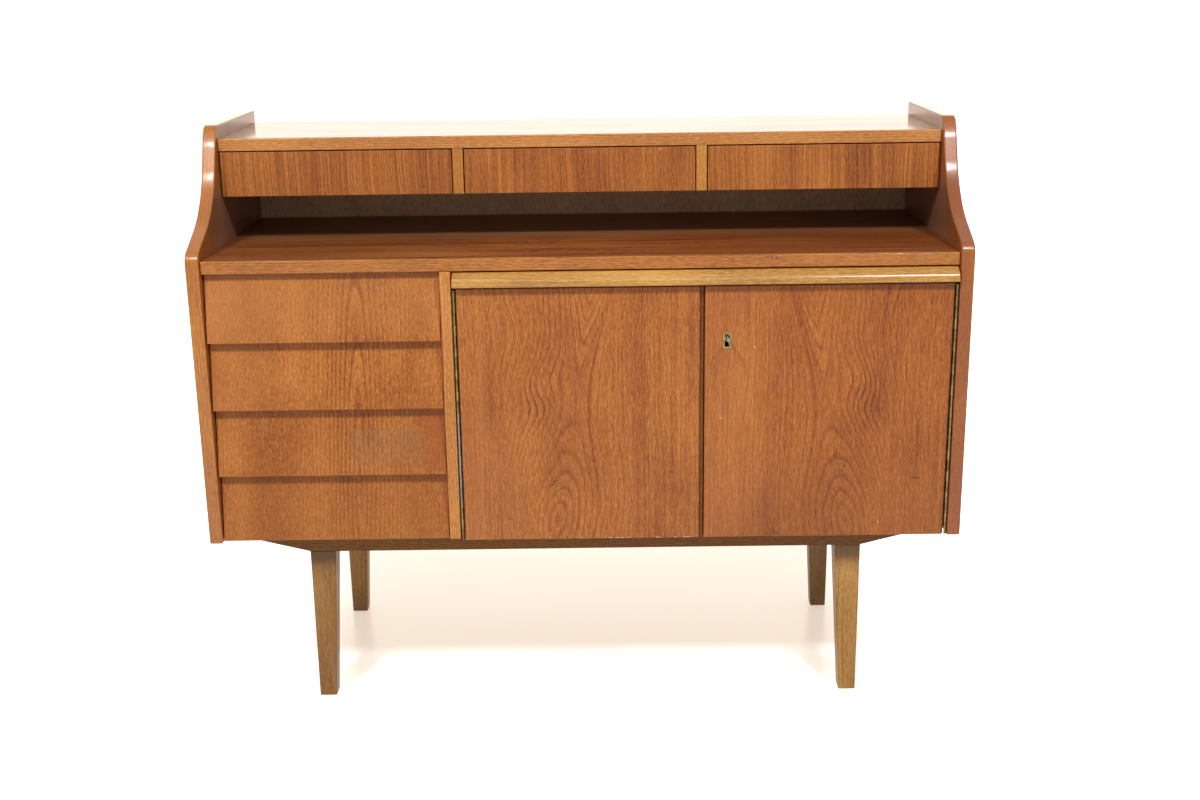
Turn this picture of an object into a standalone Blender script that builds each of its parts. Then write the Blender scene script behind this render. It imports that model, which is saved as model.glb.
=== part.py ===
"""Teak sideboard on a stained beech base.

A case with S-shaped sides carries four louvre drawers, a two-door cupboard under a
pull-out leaf, an open niche and a bank of three small drawers. Metres, +Z up, front
towards -Y. The origin is at floor level under the middle of the outer box.
"""
import math

import bmesh
import bpy
from mathutils import Matrix, Vector

# Air left between pieces that touch, and the largest error of a faceted arc
FIT = 0.0003
ARC_ERROR = 0.00005

# Case: overall sizes and the heights of its levels, from the floor up
WIDTH = 1.200
CASE_DEPTH = 0.446
LEG_HEIGHT = 0.2955
LOWER_HEIGHT = 0.4335
NICHE_HEIGHT = 0.0755
BANK_HEIGHT = 0.073
UPSTAND = 0.0215
SIDE_DROP = 0.0035

# Case: boards
SIDE = 0.021
BOARD = 0.0195
BOTTOM = 0.018
DIVIDER = 0.0172
LIPPING = 0.008
BACK = 0.005
BACK_REBATE = 0.006
HOUSING = 0.005
DUST_PANEL = 0.006
TOP_SETBACK = 0.008
SHELF_SETBACK = 0.173
BOTTOM_SETBACK = 0.0265
DIVIDER_SETBACK = 0.002
DUST_PANEL_SETBACK = 0.060
DRAWER_BAY = 0.3642
CUPBOARD_SHELF = 0.016
CUPBOARD_SHELF_RISE = 0.1865
CUPBOARD_SHELF_SETBACK = 0.060
EDGE_ROUND = 0.0008

# S-shaped front edge of the sides: setback from the front, rise over the main top
STEP_RISE = 0.0185
STEP_RADIUS = 0.018
THROAT_SETBACK = 0.1214
THROAT_RISE = 0.0627
THROAT_RADIUS = 0.150
CREST_SETBACK = 0.178
CREST_RADIUS = 0.028
SIDE_FOOT_RADIUS = 0.004

# Large drawers with louvre fronts
DRAWER_COUNT = 4
DRAWER_GAP = 0.0015
FRONT_TOP_SETBACK = 0.020
FRONT_FOOT_SETBACK = 0.005
FRONT = 0.018
BOX_SIDE = 0.010
BOX_BOTTOM = 0.004
BOX_AIR = 0.002
BOX_BELOW_FRONT = 0.013
BOX_BACK_AIR = 0.025

# Small drawers
SMALL_COUNT = 3
SMALL_DIVIDER = 0.017
SMALL_GAP = 0.0018
SMALL_FRONT = 0.016
SMALL_SIDE = 0.008
SMALL_BELOW_FRONT = 0.010
SMALL_BACK_AIR = 0.020
BANK_FLOOR = 0.010
BANK_LIP = 0.0015
FINGER_GAP = 0.022

# Pull-out leaf
LEAF = 0.020
LEAF_AIR = 0.0025
LEAF_BACK_AIR = 0.0287
LEAF_TOP_GAP = 0.0020
NOSING_HEIGHT = 0.0213
NOSING_SETBACK = 0.0117
NOSING_OVERHANG = 0.011
NOSING_RIDGE_SETBACK = -0.0045
NOSING_RIDGE_RISE = 0.0123
NOSING_TOP_SETBACK = 0.006
NOSING_RIDGE_RADIUS = 0.006
NOSING_FOOT_RADIUS = 0.002
BEARER = 0.018
BEARER_SETBACK = 0.0235

# Doors
DOOR = 0.018
DOOR_SETBACK = 0.003
DOOR_TOP_GAP = 0.0034
DOOR_FOOT_DROP = 0.0023
MEETING_LINE = 0.3846
MEETING_GAP = 0.0076
BEAD_FACE = 0.0050
BEAD_FACE_SETBACK = 0.009
BEAD_FLANGE = 0.0180
BEAD_BACK = 0.012
BEAD_END = 0.0010
BEHIND_DOOR_AIR = 0.002

# Piano hinges
HINGE_GAP = 0.0074
HINGE_END = 0.0015
HINGE_METAL = 0.0008
HINGE_LEAF = 0.0165
HINGE_AXIS_SETBACK = 0.0015
PIN_RADIUS = 0.0008
CURL_INNER = 0.0011
CURL_OUTER = 0.0019
CURL_END_ANGLE = math.radians(20)
CURL_STEPS = 8
KNUCKLES = 23

# Lock, key and escutcheon, placed from the right door's closing edge and top
KEY_INSET = 0.0342
KEY_DROP = 0.0798
KEY_REACH = 0.042
KEY_TILT = math.radians(18)
SHANK_RADIUS = 0.0021
BOW_LENGTH = 0.022
BOW_WIDTH = 0.022
BOW_RIM = 0.0040
BOW_THICK = 0.0022
BIT_REACH = 0.0068
BIT_WIDTH = 0.008
LOCK_CASE_X = 0.045
LOCK_CASE_INSET = 0.0022
LOCK_CASE_Y = 0.013
LOCK_ABOVE = 0.022
LOCK_BELOW = 0.012
LOCK_WALL = 0.0012
LOCK_BOLT_RISE = 0.0080
LOCK_BOLT_HEIGHT = 0.0085
LOCK_BOLT_Y = 0.006
LOCK_BOLT_X = 0.0338
LOCK_BOLT_TRAVEL = 0.008
KEYHOLE_RADIUS = 0.0071
KEYHOLE_DROP = 0.0178
KEYHOLE_SKIRT = 0.0064
KEYHOLE_RIM = 0.0022
ESCUTCHEON_DEPTH = 0.008
ESCUTCHEON_PROUD = 0.0012

# Slide bolt on the back of the left door
BOLT_INSET = 0.033
BOLT_RADIUS = 0.0025
BOLT_BEHIND_DOOR = 0.0070
BOLT_LENGTH = 0.038
BOLT_TRAVEL = 0.010
BOLT_TAIL = 0.004
BOLT_PLATE_X = 0.018
BOLT_PLATE_Y = 0.0122
BOLT_PLATE_Z = 0.034
BOLT_KNOB_RADIUS = 0.0020
BOLT_KNOB_REACH = 0.013
BOLT_HOLE_AIR = 0.0006

# Base
LEG_SIDE_INSET = 0.150
LEG_FRONT_INSET = 0.046
LEG_BACK_INSET = 0.0287
LEG_TOP = 0.042
LEG_FOOT = 0.028
LEG_ROUND = 0.0020
RAIL = 0.020
RAIL_HEIGHT = 0.0357
RAIL_END_HEIGHT = 0.004
RAIL_FOOT_INSET = 0.152
RAIL_END_INSET = 0.025
CROSS_RAIL = 0.018
CROSS_RAIL_HEIGHT = 0.030

# Levels and lines worked out from the sizes above
FRONT_Y = (KEY_REACH - CASE_DEPTH) / 2
BACK_Y = FRONT_Y + CASE_DEPTH
BACK_PANEL_Y = BACK_Y - BACK - FIT
INSIDE_BACK_Y = BACK_PANEL_Y - FIT
CASE_UNDER = LEG_HEIGHT
CASE_FLOOR = CASE_UNDER + BOTTOM
MAIN_UNDER = CASE_UNDER + LOWER_HEIGHT
MAIN_TOP = MAIN_UNDER + BOARD
BANK_UNDER = MAIN_TOP + NICHE_HEIGHT
SHELF_UNDER = BANK_UNDER + BANK_HEIGHT
SHELF_TOP = SHELF_UNDER + BOARD
SIDE_TOP = SHELF_TOP + UPSTAND
SIDE_UNDER = CASE_UNDER - SIDE_DROP
INNER_X = WIDTH / 2 - SIDE
DIVIDER_X0 = -INNER_X + DRAWER_BAY
DIVIDER_X1 = DIVIDER_X0 + DIVIDER
DRAWER_PITCH = LOWER_HEIGHT / DRAWER_COUNT
SMALL_BAY = (2 * INNER_X - (SMALL_COUNT - 1) * SMALL_DIVIDER) / SMALL_COUNT
BANK_FLOOR_UNDER = BANK_UNDER + BANK_LIP
BANK_FLOOR_TOP = BANK_FLOOR_UNDER + BANK_FLOOR
NOSING_TOP = MAIN_UNDER - LEAF_TOP_GAP
LEAF_UNDER = NOSING_TOP - NOSING_HEIGHT
BEARER_TOP = LEAF_UNDER - FIT
BEARER_UNDER = BEARER_TOP - BEARER
DOOR_TOP = BEARER_TOP - DOOR_TOP_GAP
DOOR_UNDER = CASE_UNDER - DOOR_FOOT_DROP
DOOR_Y = FRONT_Y + DOOR_SETBACK
DOOR_BACK_Y = DOOR_Y + DOOR
MEETING_X = DIVIDER_X1 + MEETING_LINE
LEFT_DOOR_X0 = DIVIDER_X1 + HINGE_GAP
LEFT_DOOR_X1 = MEETING_X - MEETING_GAP / 2
RIGHT_DOOR_X0 = MEETING_X + MEETING_GAP / 2
RIGHT_DOOR_X1 = INNER_X - HINGE_GAP
HINGE_Y = FRONT_Y + HINGE_AXIS_SETBACK
KEY_X = RIGHT_DOOR_X0 + KEY_INSET
KEY_Z = DOOR_TOP - KEY_DROP
BOLT_X = LEFT_DOOR_X1 - BOLT_INSET
BOLT_Y = DOOR_BACK_Y + BOLT_BEHIND_DOOR
BOLT_TIP_Z = BEARER_UNDER - BEHIND_DOOR_AIR


def clear_scene():
    for item in list(bpy.data.objects):
        bpy.data.objects.remove(item, do_unlink=True)


def make_material(name, colour, roughness, metallic=0.0):
    material = bpy.data.materials.new(name)
    material.use_nodes = True
    shader = material.node_tree.nodes["Principled BSDF"]
    shader.inputs["Base Color"].default_value = (*colour, 1.0)
    shader.inputs["Roughness"].default_value = roughness
    shader.inputs["Metallic"].default_value = metallic
    material.diffuse_color = (*colour, 1.0)
    return material


def make_body(name, origin):
    """An empty that carries one moving body, with its origin on the joint's axis."""
    empty = bpy.data.objects.new(name, None)
    empty.location = origin
    bpy.context.scene.collection.objects.link(empty)
    return empty


def place(name, bm, material, body=None, smooth=False):
    """Turn a bmesh built in world coordinates into a node, carried by a body's empty."""
    if body is not None:
        bmesh.ops.translate(bm, verts=bm.verts, vec=-body.location)
    bmesh.ops.recalc_face_normals(bm, faces=bm.faces)
    mesh = bpy.data.meshes.new(name)
    bm.to_mesh(mesh)
    bm.free()
    if smooth:
        mesh.shade_smooth()
        mesh.set_sharp_from_angle(angle=math.radians(50))
    mesh.materials.append(material)
    node = bpy.data.objects.new(name, mesh)
    node.parent = body
    bpy.context.scene.collection.objects.link(node)
    return node


def soften(node, width=EDGE_ROUND, segments=1):
    """Ease a board's sharp edges."""
    bevel = node.modifiers.new("eased_edges", "BEVEL")
    bevel.width = width
    bevel.segments = segments
    bevel.limit_method = "ANGLE"
    bevel.angle_limit = math.radians(50)


def join_shape(node, bm, operation):
    """Cut a bmesh out of a node, or unite it with the node, by a Boolean modifier."""
    bmesh.ops.recalc_face_normals(bm, faces=bm.faces)
    name = f"{node.name}_{operation.lower()}_{len(node.modifiers)}"
    mesh = bpy.data.meshes.new(name)
    bm.to_mesh(mesh)
    bm.free()
    tool = bpy.data.objects.new(name, mesh)
    tool.hide_render = True
    tool.display_type = "WIRE"
    bpy.context.scene.collection.objects.link(tool)
    boolean = node.modifiers.new(name, "BOOLEAN")
    boolean.operation = operation
    boolean.object = tool


def box(bm, low, high):
    """Add a box between two corners."""
    low = Vector(low)
    high = Vector(high)
    size = high - low
    matrix = Matrix.Translation((low + high) / 2) @ Matrix.Diagonal((*size, 1.0))
    bmesh.ops.create_cube(bm, size=1.0, matrix=matrix)


def board(name, low, high, material, body=None, eased=True):
    bm = bmesh.new()
    box(bm, low, high)
    node = place(name, bm, material, body)
    if eased:
        soften(node)
    return node


def rod(bm, start, end, radius, sides):
    """Add a capped cylinder between two points."""
    start = Vector(start)
    end = Vector(end)
    along = end - start
    turn = along.to_track_quat("Z", "Y").to_matrix().to_4x4()
    matrix = Matrix.Translation((start + end) / 2) @ turn
    bmesh.ops.create_cone(bm, cap_ends=True, segments=sides, radius1=radius,
                          radius2=radius, depth=along.length, matrix=matrix)


def prism(bm, outline, axis, low, high):
    """Extrude a closed outline along X, Y or Z. The outline's two numbers are the
    other two axes in their X, Y, Z order."""
    def point(a, b, level):
        return {"X": (level, a, b), "Y": (a, level, b), "Z": (a, b, level)}[axis]

    verts = [bm.verts.new(point(a, b, low)) for a, b in outline]
    face = bm.faces.new(verts)
    grown = bmesh.ops.extrude_face_region(bm, geom=[face])
    moved = [item for item in grown["geom"] if isinstance(item, bmesh.types.BMVert)]
    bmesh.ops.translate(bm, verts=moved, vec=Vector(point(0.0, 0.0, high - low)))


def rounded(corners):
    """Points of an outline given as (a, b, radius) corners, with round corners as arcs."""
    points = []
    count = len(corners)
    for index, (a, b, radius) in enumerate(corners):
        here = Vector((a, b))
        if radius <= 0:
            points.append((a, b))
            continue
        back = Vector(corners[index - 1][:2]) - here
        ahead = Vector(corners[(index + 1) % count][:2]) - here
        half = back.angle(ahead) / 2
        tangent = min(radius / math.tan(half), 0.48 * min(back.length, ahead.length))
        radius = tangent * math.tan(half)
        middle = (back.normalized() + ahead.normalized()).normalized()
        centre = here + middle * (radius / math.sin(half))
        first = here + back.normalized() * tangent - centre
        last = here + ahead.normalized() * tangent - centre
        turn = -first.angle_signed(last)
        steps = max(2, math.ceil(abs(turn) / math.sqrt(8 * ARC_ERROR / radius)))
        for step in range(steps + 1):
            spot = centre + Matrix.Rotation(turn * step / steps, 2) @ first
            points.append((spot.x, spot.y))
    return points


def fronted(name, low, high, material, axis="X", eased=EDGE_ROUND):
    """A board that runs along X or Z, with only the two edges of its front rounded."""
    if axis == "X":
        corners = [(high[1], low[2], 0), (high[1], high[2], 0), (low[1], high[2], eased),
                   (low[1], low[2], eased)]
        ends = (low[0], high[0])
    else:
        corners = [(low[0], high[1], 0), (low[0], low[1], eased), (high[0], low[1], eased),
                   (high[0], high[1], 0)]
        ends = (low[2], high[2])
    bm = bmesh.new()
    prism(bm, rounded(corners), axis, *ends)
    return place(name, bm, material)


def side_outline():
    """Outline of a side panel in Y and Z, with its S-shaped front edge."""
    crest = FRONT_Y + CREST_SETBACK
    return rounded([
        (BACK_Y, SIDE_UNDER, 0),
        (BACK_Y, SIDE_TOP, 0),
        (crest, SIDE_TOP, CREST_RADIUS),
        (FRONT_Y + THROAT_SETBACK, MAIN_TOP + THROAT_RISE, THROAT_RADIUS),
        (FRONT_Y, MAIN_TOP + STEP_RISE, STEP_RADIUS),
        (FRONT_Y, SIDE_UNDER, SIDE_FOOT_RADIUS),
    ])


def dust_panel_under(index):
    """Underside of the dust panel below large drawer number index, counted from 0."""
    return CASE_UNDER + index * DRAWER_PITCH + BOTTOM - DUST_PANEL


def add_housings(bm, face_x, inward, lefts):
    """Grooves that take the ends of boards. inward is +1 where the groove runs to +X.
    lefts lists (front y, back y, underside, thickness) of the boards."""
    for front, back, under, thick in lefts:
        ends = sorted((face_x - inward * HOUSING, face_x + inward * (HOUSING + FIT)))
        box(bm, (ends[0], front - FIT, under - FIT), (ends[1], back + FIT, under + thick + FIT))


def dust_panel_housings():
    front = FRONT_Y + DUST_PANEL_SETBACK
    return [(front, INSIDE_BACK_Y, dust_panel_under(index), DUST_PANEL)
            for index in range(1, DRAWER_COUNT)]


def cupboard_shelf_housing():
    front = FRONT_Y + CUPBOARD_SHELF_SETBACK
    return [(front, INSIDE_BACK_Y, CASE_FLOOR + CUPBOARD_SHELF_RISE, CUPBOARD_SHELF)]


def make_sides(teak):
    for name, sign in (("side_left", -1), ("side_right", 1)):
        bm = bmesh.new()
        ends = sorted((sign * INNER_X, sign * WIDTH / 2))
        prism(bm, side_outline(), "X", *ends)
        node = place(name, bm, teak, smooth=True)
        soften(node)
        cuts = bmesh.new()
        rebate = sorted((sign * (INNER_X - SIDE), sign * (INNER_X + BACK_REBATE + FIT)))
        box(cuts, (rebate[0], BACK_PANEL_Y - FIT, SIDE_UNDER - SIDE),
            (rebate[1], BACK_Y + SIDE, SHELF_UNDER))
        join_shape(node, cuts, "DIFFERENCE")
        boards = dust_panel_housings() if sign < 0 else cupboard_shelf_housing()
        grooves = bmesh.new()
        add_housings(grooves, sign * INNER_X, sign, boards)
        join_shape(node, grooves, "DIFFERENCE")


def make_divider(teak):
    node = fronted("centre_divider", (DIVIDER_X0, FRONT_Y + DIVIDER_SETBACK, CASE_UNDER),
                   (DIVIDER_X1, INSIDE_BACK_Y, MAIN_UNDER - FIT), teak, "Z")
    notch = bmesh.new()
    box(notch, (DIVIDER_X0 - DIVIDER, FRONT_Y + BOTTOM_SETBACK - FIT, CASE_UNDER - BOTTOM),
        (DIVIDER_X1 + DIVIDER, BACK_Y, CASE_FLOOR + FIT))
    join_shape(node, notch, "DIFFERENCE")
    grooves = bmesh.new()
    add_housings(grooves, DIVIDER_X0, 1, dust_panel_housings())
    add_housings(grooves, DIVIDER_X1, -1, cupboard_shelf_housing())
    join_shape(node, grooves, "DIFFERENCE")


def make_tops(teak, lipping_wood):
    x0 = -INNER_X + FIT
    x1 = INNER_X - FIT
    levels = (
        ("main_top", FRONT_Y + TOP_SETBACK, INSIDE_BACK_Y, MAIN_UNDER),
        ("upper_shelf", FRONT_Y + SHELF_SETBACK, BACK_Y, SHELF_UNDER),
    )
    for name, front, back, under in levels:
        joint = front + LIPPING
        board(name, (x0, joint + FIT, under), (x1, back, under + BOARD), teak, eased=False)
        fronted(f"{name}_lipping", (x0, front, under), (x1, joint, under + BOARD),
                lipping_wood)


def make_case_boards(teak, inside_wood, back_wood):
    x0 = -INNER_X + FIT
    x1 = INNER_X - FIT
    fronted("bottom_panel", (x0, FRONT_Y + BOTTOM_SETBACK, CASE_UNDER),
            (x1, INSIDE_BACK_Y, CASE_FLOOR), teak)
    reach = INNER_X + BACK_REBATE
    board("back_panel", (-reach, BACK_PANEL_Y, CASE_UNDER + FIT),
          (reach, BACK_PANEL_Y + BACK, SHELF_UNDER - FIT), back_wood, eased=False)
    front = FRONT_Y + DUST_PANEL_SETBACK
    for index in range(1, DRAWER_COUNT):
        under = dust_panel_under(index)
        board(f"dust_panel_{DRAWER_COUNT - index}",
              (-INNER_X - HOUSING + FIT, front, under),
              (DIVIDER_X0 + HOUSING - FIT, INSIDE_BACK_Y, under + DUST_PANEL),
              inside_wood, eased=False)
    shelf_under = CASE_FLOOR + CUPBOARD_SHELF_RISE
    fronted("cupboard_shelf",
            (DIVIDER_X1 - HOUSING + FIT, FRONT_Y + CUPBOARD_SHELF_SETBACK, shelf_under),
            (INNER_X + HOUSING - FIT, INSIDE_BACK_Y, shelf_under + CUPBOARD_SHELF), teak)


def make_bearer(inside_wood):
    """Board under the pull-out leaf, with the hole that the left door's bolt enters."""
    node = fronted("leaf_bearer", (DIVIDER_X1 + FIT, FRONT_Y + BEARER_SETBACK, BEARER_UNDER),
                   (INNER_X - FIT, INSIDE_BACK_Y, BEARER_TOP), inside_wood)
    hole = bmesh.new()
    depth = BOLT_TRAVEL + BOLT_HOLE_AIR
    rod(hole, (BOLT_X, BOLT_Y, BEARER_UNDER - depth), (BOLT_X, BOLT_Y, BEARER_UNDER + depth),
        BOLT_RADIUS + BOLT_HOLE_AIR, 12)
    join_shape(node, hole, "DIFFERENCE")


def make_bank(inside_wood, pale_wood):
    """Floor board of the small drawers and the dividers between them."""
    front = FRONT_Y + SHELF_SETBACK
    floor_front = front + SMALL_FRONT + FINGER_GAP
    fronted("bank_floor", (-INNER_X + FIT, floor_front, BANK_FLOOR_UNDER),
            (INNER_X - FIT, INSIDE_BACK_Y, BANK_FLOOR_TOP), inside_wood)
    names = ("small_divider_left", "small_divider_right")
    for index, name in enumerate(names, start=1):
        x0 = -INNER_X + index * SMALL_BAY + (index - 1) * SMALL_DIVIDER
        x1 = x0 + SMALL_DIVIDER
        node = fronted(name, (x0, front, BANK_UNDER), (x1, INSIDE_BACK_Y, SHELF_UNDER - FIT),
                       pale_wood, "Z")
        notch = bmesh.new()
        box(notch, (x0 - SMALL_DIVIDER, floor_front - FIT, BANK_UNDER - BANK_FLOOR),
            (x1 + SMALL_DIVIDER, BACK_Y, BANK_FLOOR_TOP + FIT))
        join_shape(node, notch, "DIFFERENCE")


def make_large_drawer(number, level, teak, box_wood, ply):
    """One louvre drawer. level counts its place from the bottom, from 0."""
    under = CASE_UNDER + level * DRAWER_PITCH
    top = under + DRAWER_PITCH - DRAWER_GAP
    x0 = -INNER_X + DRAWER_GAP
    x1 = DIVIDER_X0 - DRAWER_GAP
    foot_y = FRONT_Y + FRONT_FOOT_SETBACK
    top_y = FRONT_Y + FRONT_TOP_SETBACK
    body = make_body(f"drawer_{number}_body", ((x0 + x1) / 2, foot_y, under))

    def slope_back(height):
        """Back face of the sloping front at a height."""
        share = (height - under) / (top - under)
        return foot_y + (top_y - foot_y) * share + FRONT

    bm = bmesh.new()
    prism(bm, [(foot_y, under), (slope_back(under), under), (slope_back(top), top),
               (top_y, top)], "X", x0, x1)
    soften(place(f"drawer_{number}_front", bm, teak, body))

    ply_under = under + BOTTOM + FIT
    ply_top = ply_under + BOX_BOTTOM
    box_top = top - BOX_BELOW_FRONT
    back = INSIDE_BACK_Y - BOX_BACK_AIR
    box_x0 = -INNER_X + BOX_AIR
    box_x1 = DIVIDER_X0 - BOX_AIR
    board(f"drawer_{number}_bottom", (box_x0, slope_back(ply_top) + FIT, ply_under),
          (box_x1, back, ply_top), ply, body, eased=False)

    walls = bmesh.new()
    wall_foot = ply_top + FIT
    prism(walls, [(slope_back(wall_foot) + FIT, wall_foot), (back, wall_foot),
                  (back, box_top), (slope_back(box_top) + FIT, box_top)],
          "X", box_x0, box_x1)
    node = place(f"drawer_{number}_box", walls, box_wood, body)
    inside = bmesh.new()
    box(inside, (box_x0 + BOX_SIDE, FRONT_Y - BOX_SIDE, ply_under),
        (box_x1 - BOX_SIDE, back - BOX_SIDE, box_top + BOX_SIDE))
    join_shape(node, inside, "DIFFERENCE")


def make_small_drawer(name, place_index, teak, box_wood):
    """One small drawer with an upright front and a tray behind it."""
    cell_x0 = -INNER_X + place_index * (SMALL_BAY + SMALL_DIVIDER)
    cell_x1 = cell_x0 + SMALL_BAY
    front = FRONT_Y + SHELF_SETBACK
    back = INSIDE_BACK_Y - SMALL_BACK_AIR
    top = SHELF_UNDER - SMALL_GAP
    body = make_body(f"{name}_body", ((cell_x0 + cell_x1) / 2, front, BANK_UNDER))
    board(f"{name}_front", (cell_x0 + SMALL_GAP, front, BANK_UNDER),
          (cell_x1 - SMALL_GAP, front + SMALL_FRONT, top), teak, body)

    x0 = cell_x0 + BOX_AIR
    x1 = cell_x1 - BOX_AIR
    under = BANK_FLOOR_TOP + FIT
    tray_front = front + SMALL_FRONT + FIT
    tray_top = top - SMALL_BELOW_FRONT
    node = board(f"{name}_tray", (x0, tray_front, under), (x1, back, tray_top),
                 box_wood, body, eased=False)
    inside = bmesh.new()
    box(inside, (x0 + SMALL_SIDE, tray_front - SMALL_SIDE, under + BOX_BOTTOM),
        (x1 - SMALL_SIDE, back - SMALL_SIDE, tray_top + SMALL_SIDE))
    join_shape(node, inside, "DIFFERENCE")


def make_leaf(leaf_wood, nosing_wood):
    x0 = DIVIDER_X1 + LEAF_AIR
    x1 = INNER_X - LEAF_AIR
    nosing_back = FRONT_Y + NOSING_SETBACK
    body = make_body("writing_leaf_body", ((x0 + x1) / 2, nosing_back, LEAF_UNDER))
    board("leaf_board", (x0, nosing_back + FIT, LEAF_UNDER),
          (x1, INSIDE_BACK_Y - LEAF_BACK_AIR, LEAF_UNDER + LEAF), leaf_wood, body)
    outline = rounded([
        (nosing_back, LEAF_UNDER, 0),
        (nosing_back, NOSING_TOP, 0),
        (FRONT_Y + NOSING_TOP_SETBACK, NOSING_TOP, NOSING_FOOT_RADIUS),
        (FRONT_Y + NOSING_RIDGE_SETBACK, LEAF_UNDER + NOSING_RIDGE_RISE, NOSING_RIDGE_RADIUS),
        (FRONT_Y - NOSING_OVERHANG, LEAF_UNDER, NOSING_FOOT_RADIUS),
    ])
    bm = bmesh.new()
    prism(bm, outline, "X", x0, x1)
    place("leaf_nosing", bm, nosing_wood, body, smooth=True)


def keyhole_outline(grow):
    """Keyhole shape round the key's axis in X and Z, grown outwards by a distance."""
    radius = KEYHOLE_RADIUS + grow
    waist = math.radians(-45)
    turns = 12
    points = []
    for step in range(turns + 1):
        angle = waist + (math.pi - 2 * waist) * step / turns
        points.append((KEY_X + radius * math.cos(angle), KEY_Z + radius * math.sin(angle)))
    points.append((KEY_X - KEYHOLE_SKIRT - grow, KEY_Z - KEYHOLE_DROP - grow))
    points.append((KEY_X + KEYHOLE_SKIRT + grow, KEY_Z - KEYHOLE_DROP - grow))
    return points


def make_doors(teak, bead_wood, left_body, right_body):
    board("door_left", (LEFT_DOOR_X0, DOOR_Y, DOOR_UNDER),
          (LEFT_DOOR_X1, DOOR_BACK_Y, DOOR_TOP), teak, left_body)
    right = board("door_right", (RIGHT_DOOR_X0, DOOR_Y, DOOR_UNDER),
                  (RIGHT_DOOR_X1, DOOR_BACK_Y, DOOR_TOP), teak, right_body)
    keyhole = bmesh.new()
    prism(keyhole, keyhole_outline(FIT), "Y", DOOR_Y - DOOR, DOOR_BACK_Y + DOOR)
    join_shape(right, keyhole, "DIFFERENCE")

    face_x0 = LEFT_DOOR_X1 + FIT
    flange_y = DOOR_BACK_Y + FIT
    outline = [
        (face_x0, FRONT_Y + BEAD_FACE_SETBACK),
        (face_x0 + BEAD_FACE, FRONT_Y + BEAD_FACE_SETBACK),
        (face_x0 + BEAD_FACE, flange_y + BEAD_BACK),
        (face_x0 - BEAD_FLANGE, flange_y + BEAD_BACK),
        (face_x0 - BEAD_FLANGE, flange_y),
        (face_x0, flange_y),
    ]
    bm = bmesh.new()
    low = DOOR_UNDER + BEAD_END
    high = DOOR_TOP - BEAD_END
    prism(bm, outline, "Z", low, high)
    bead = place("meeting_bead", bm, bead_wood, left_body)
    ends = bmesh.new()
    for foot, head in ((low - DOOR, CASE_FLOOR + BEHIND_DOOR_AIR),
                       (BEARER_UNDER - BEHIND_DOOR_AIR, high + DOOR)):
        box(ends, (face_x0 - 2 * BEAD_FLANGE, flange_y, foot),
            (face_x0 + 2 * BEAD_FACE, flange_y + 2 * BEAD_BACK, head))
    join_shape(bead, ends, "DIFFERENCE")
    slot = bmesh.new()
    bolt_low, bolt_high = lock_bolt_corners()
    air = 2 * FIT
    box(slot, (bolt_low.x - LOCK_BOLT_TRAVEL - air, bolt_low.y - air, bolt_low.z - air),
        (bolt_low.x + BEAD_FACE, bolt_high.y + air, bolt_high.z + air))
    join_shape(bead, slot, "DIFFERENCE")


def lock_case_corners():
    x0 = RIGHT_DOOR_X0 + LOCK_CASE_INSET
    low = Vector((x0, DOOR_BACK_Y + FIT, KEY_Z - LOCK_BELOW))
    high = Vector((x0 + LOCK_CASE_X, DOOR_BACK_Y + FIT + LOCK_CASE_Y, KEY_Z + LOCK_ABOVE))
    return low, high


def lock_bolt_corners():
    """The lock bolt drawn back, its nose level with the door's closing edge."""
    case_low, case_high = lock_case_corners()
    middle = (case_low.y + case_high.y) / 2
    low = Vector((RIGHT_DOOR_X0 + FIT, middle - LOCK_BOLT_Y / 2, KEY_Z + LOCK_BOLT_RISE))
    return low, low + Vector((LOCK_BOLT_X, LOCK_BOLT_Y, LOCK_BOLT_HEIGHT))


def key_plane():
    """Turns a shape drawn upright round the Y axis into the key's tilted plane."""
    return Matrix.Translation((KEY_X, 0, KEY_Z)) @ Matrix.Rotation(-KEY_TILT, 4, "Y")


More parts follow.
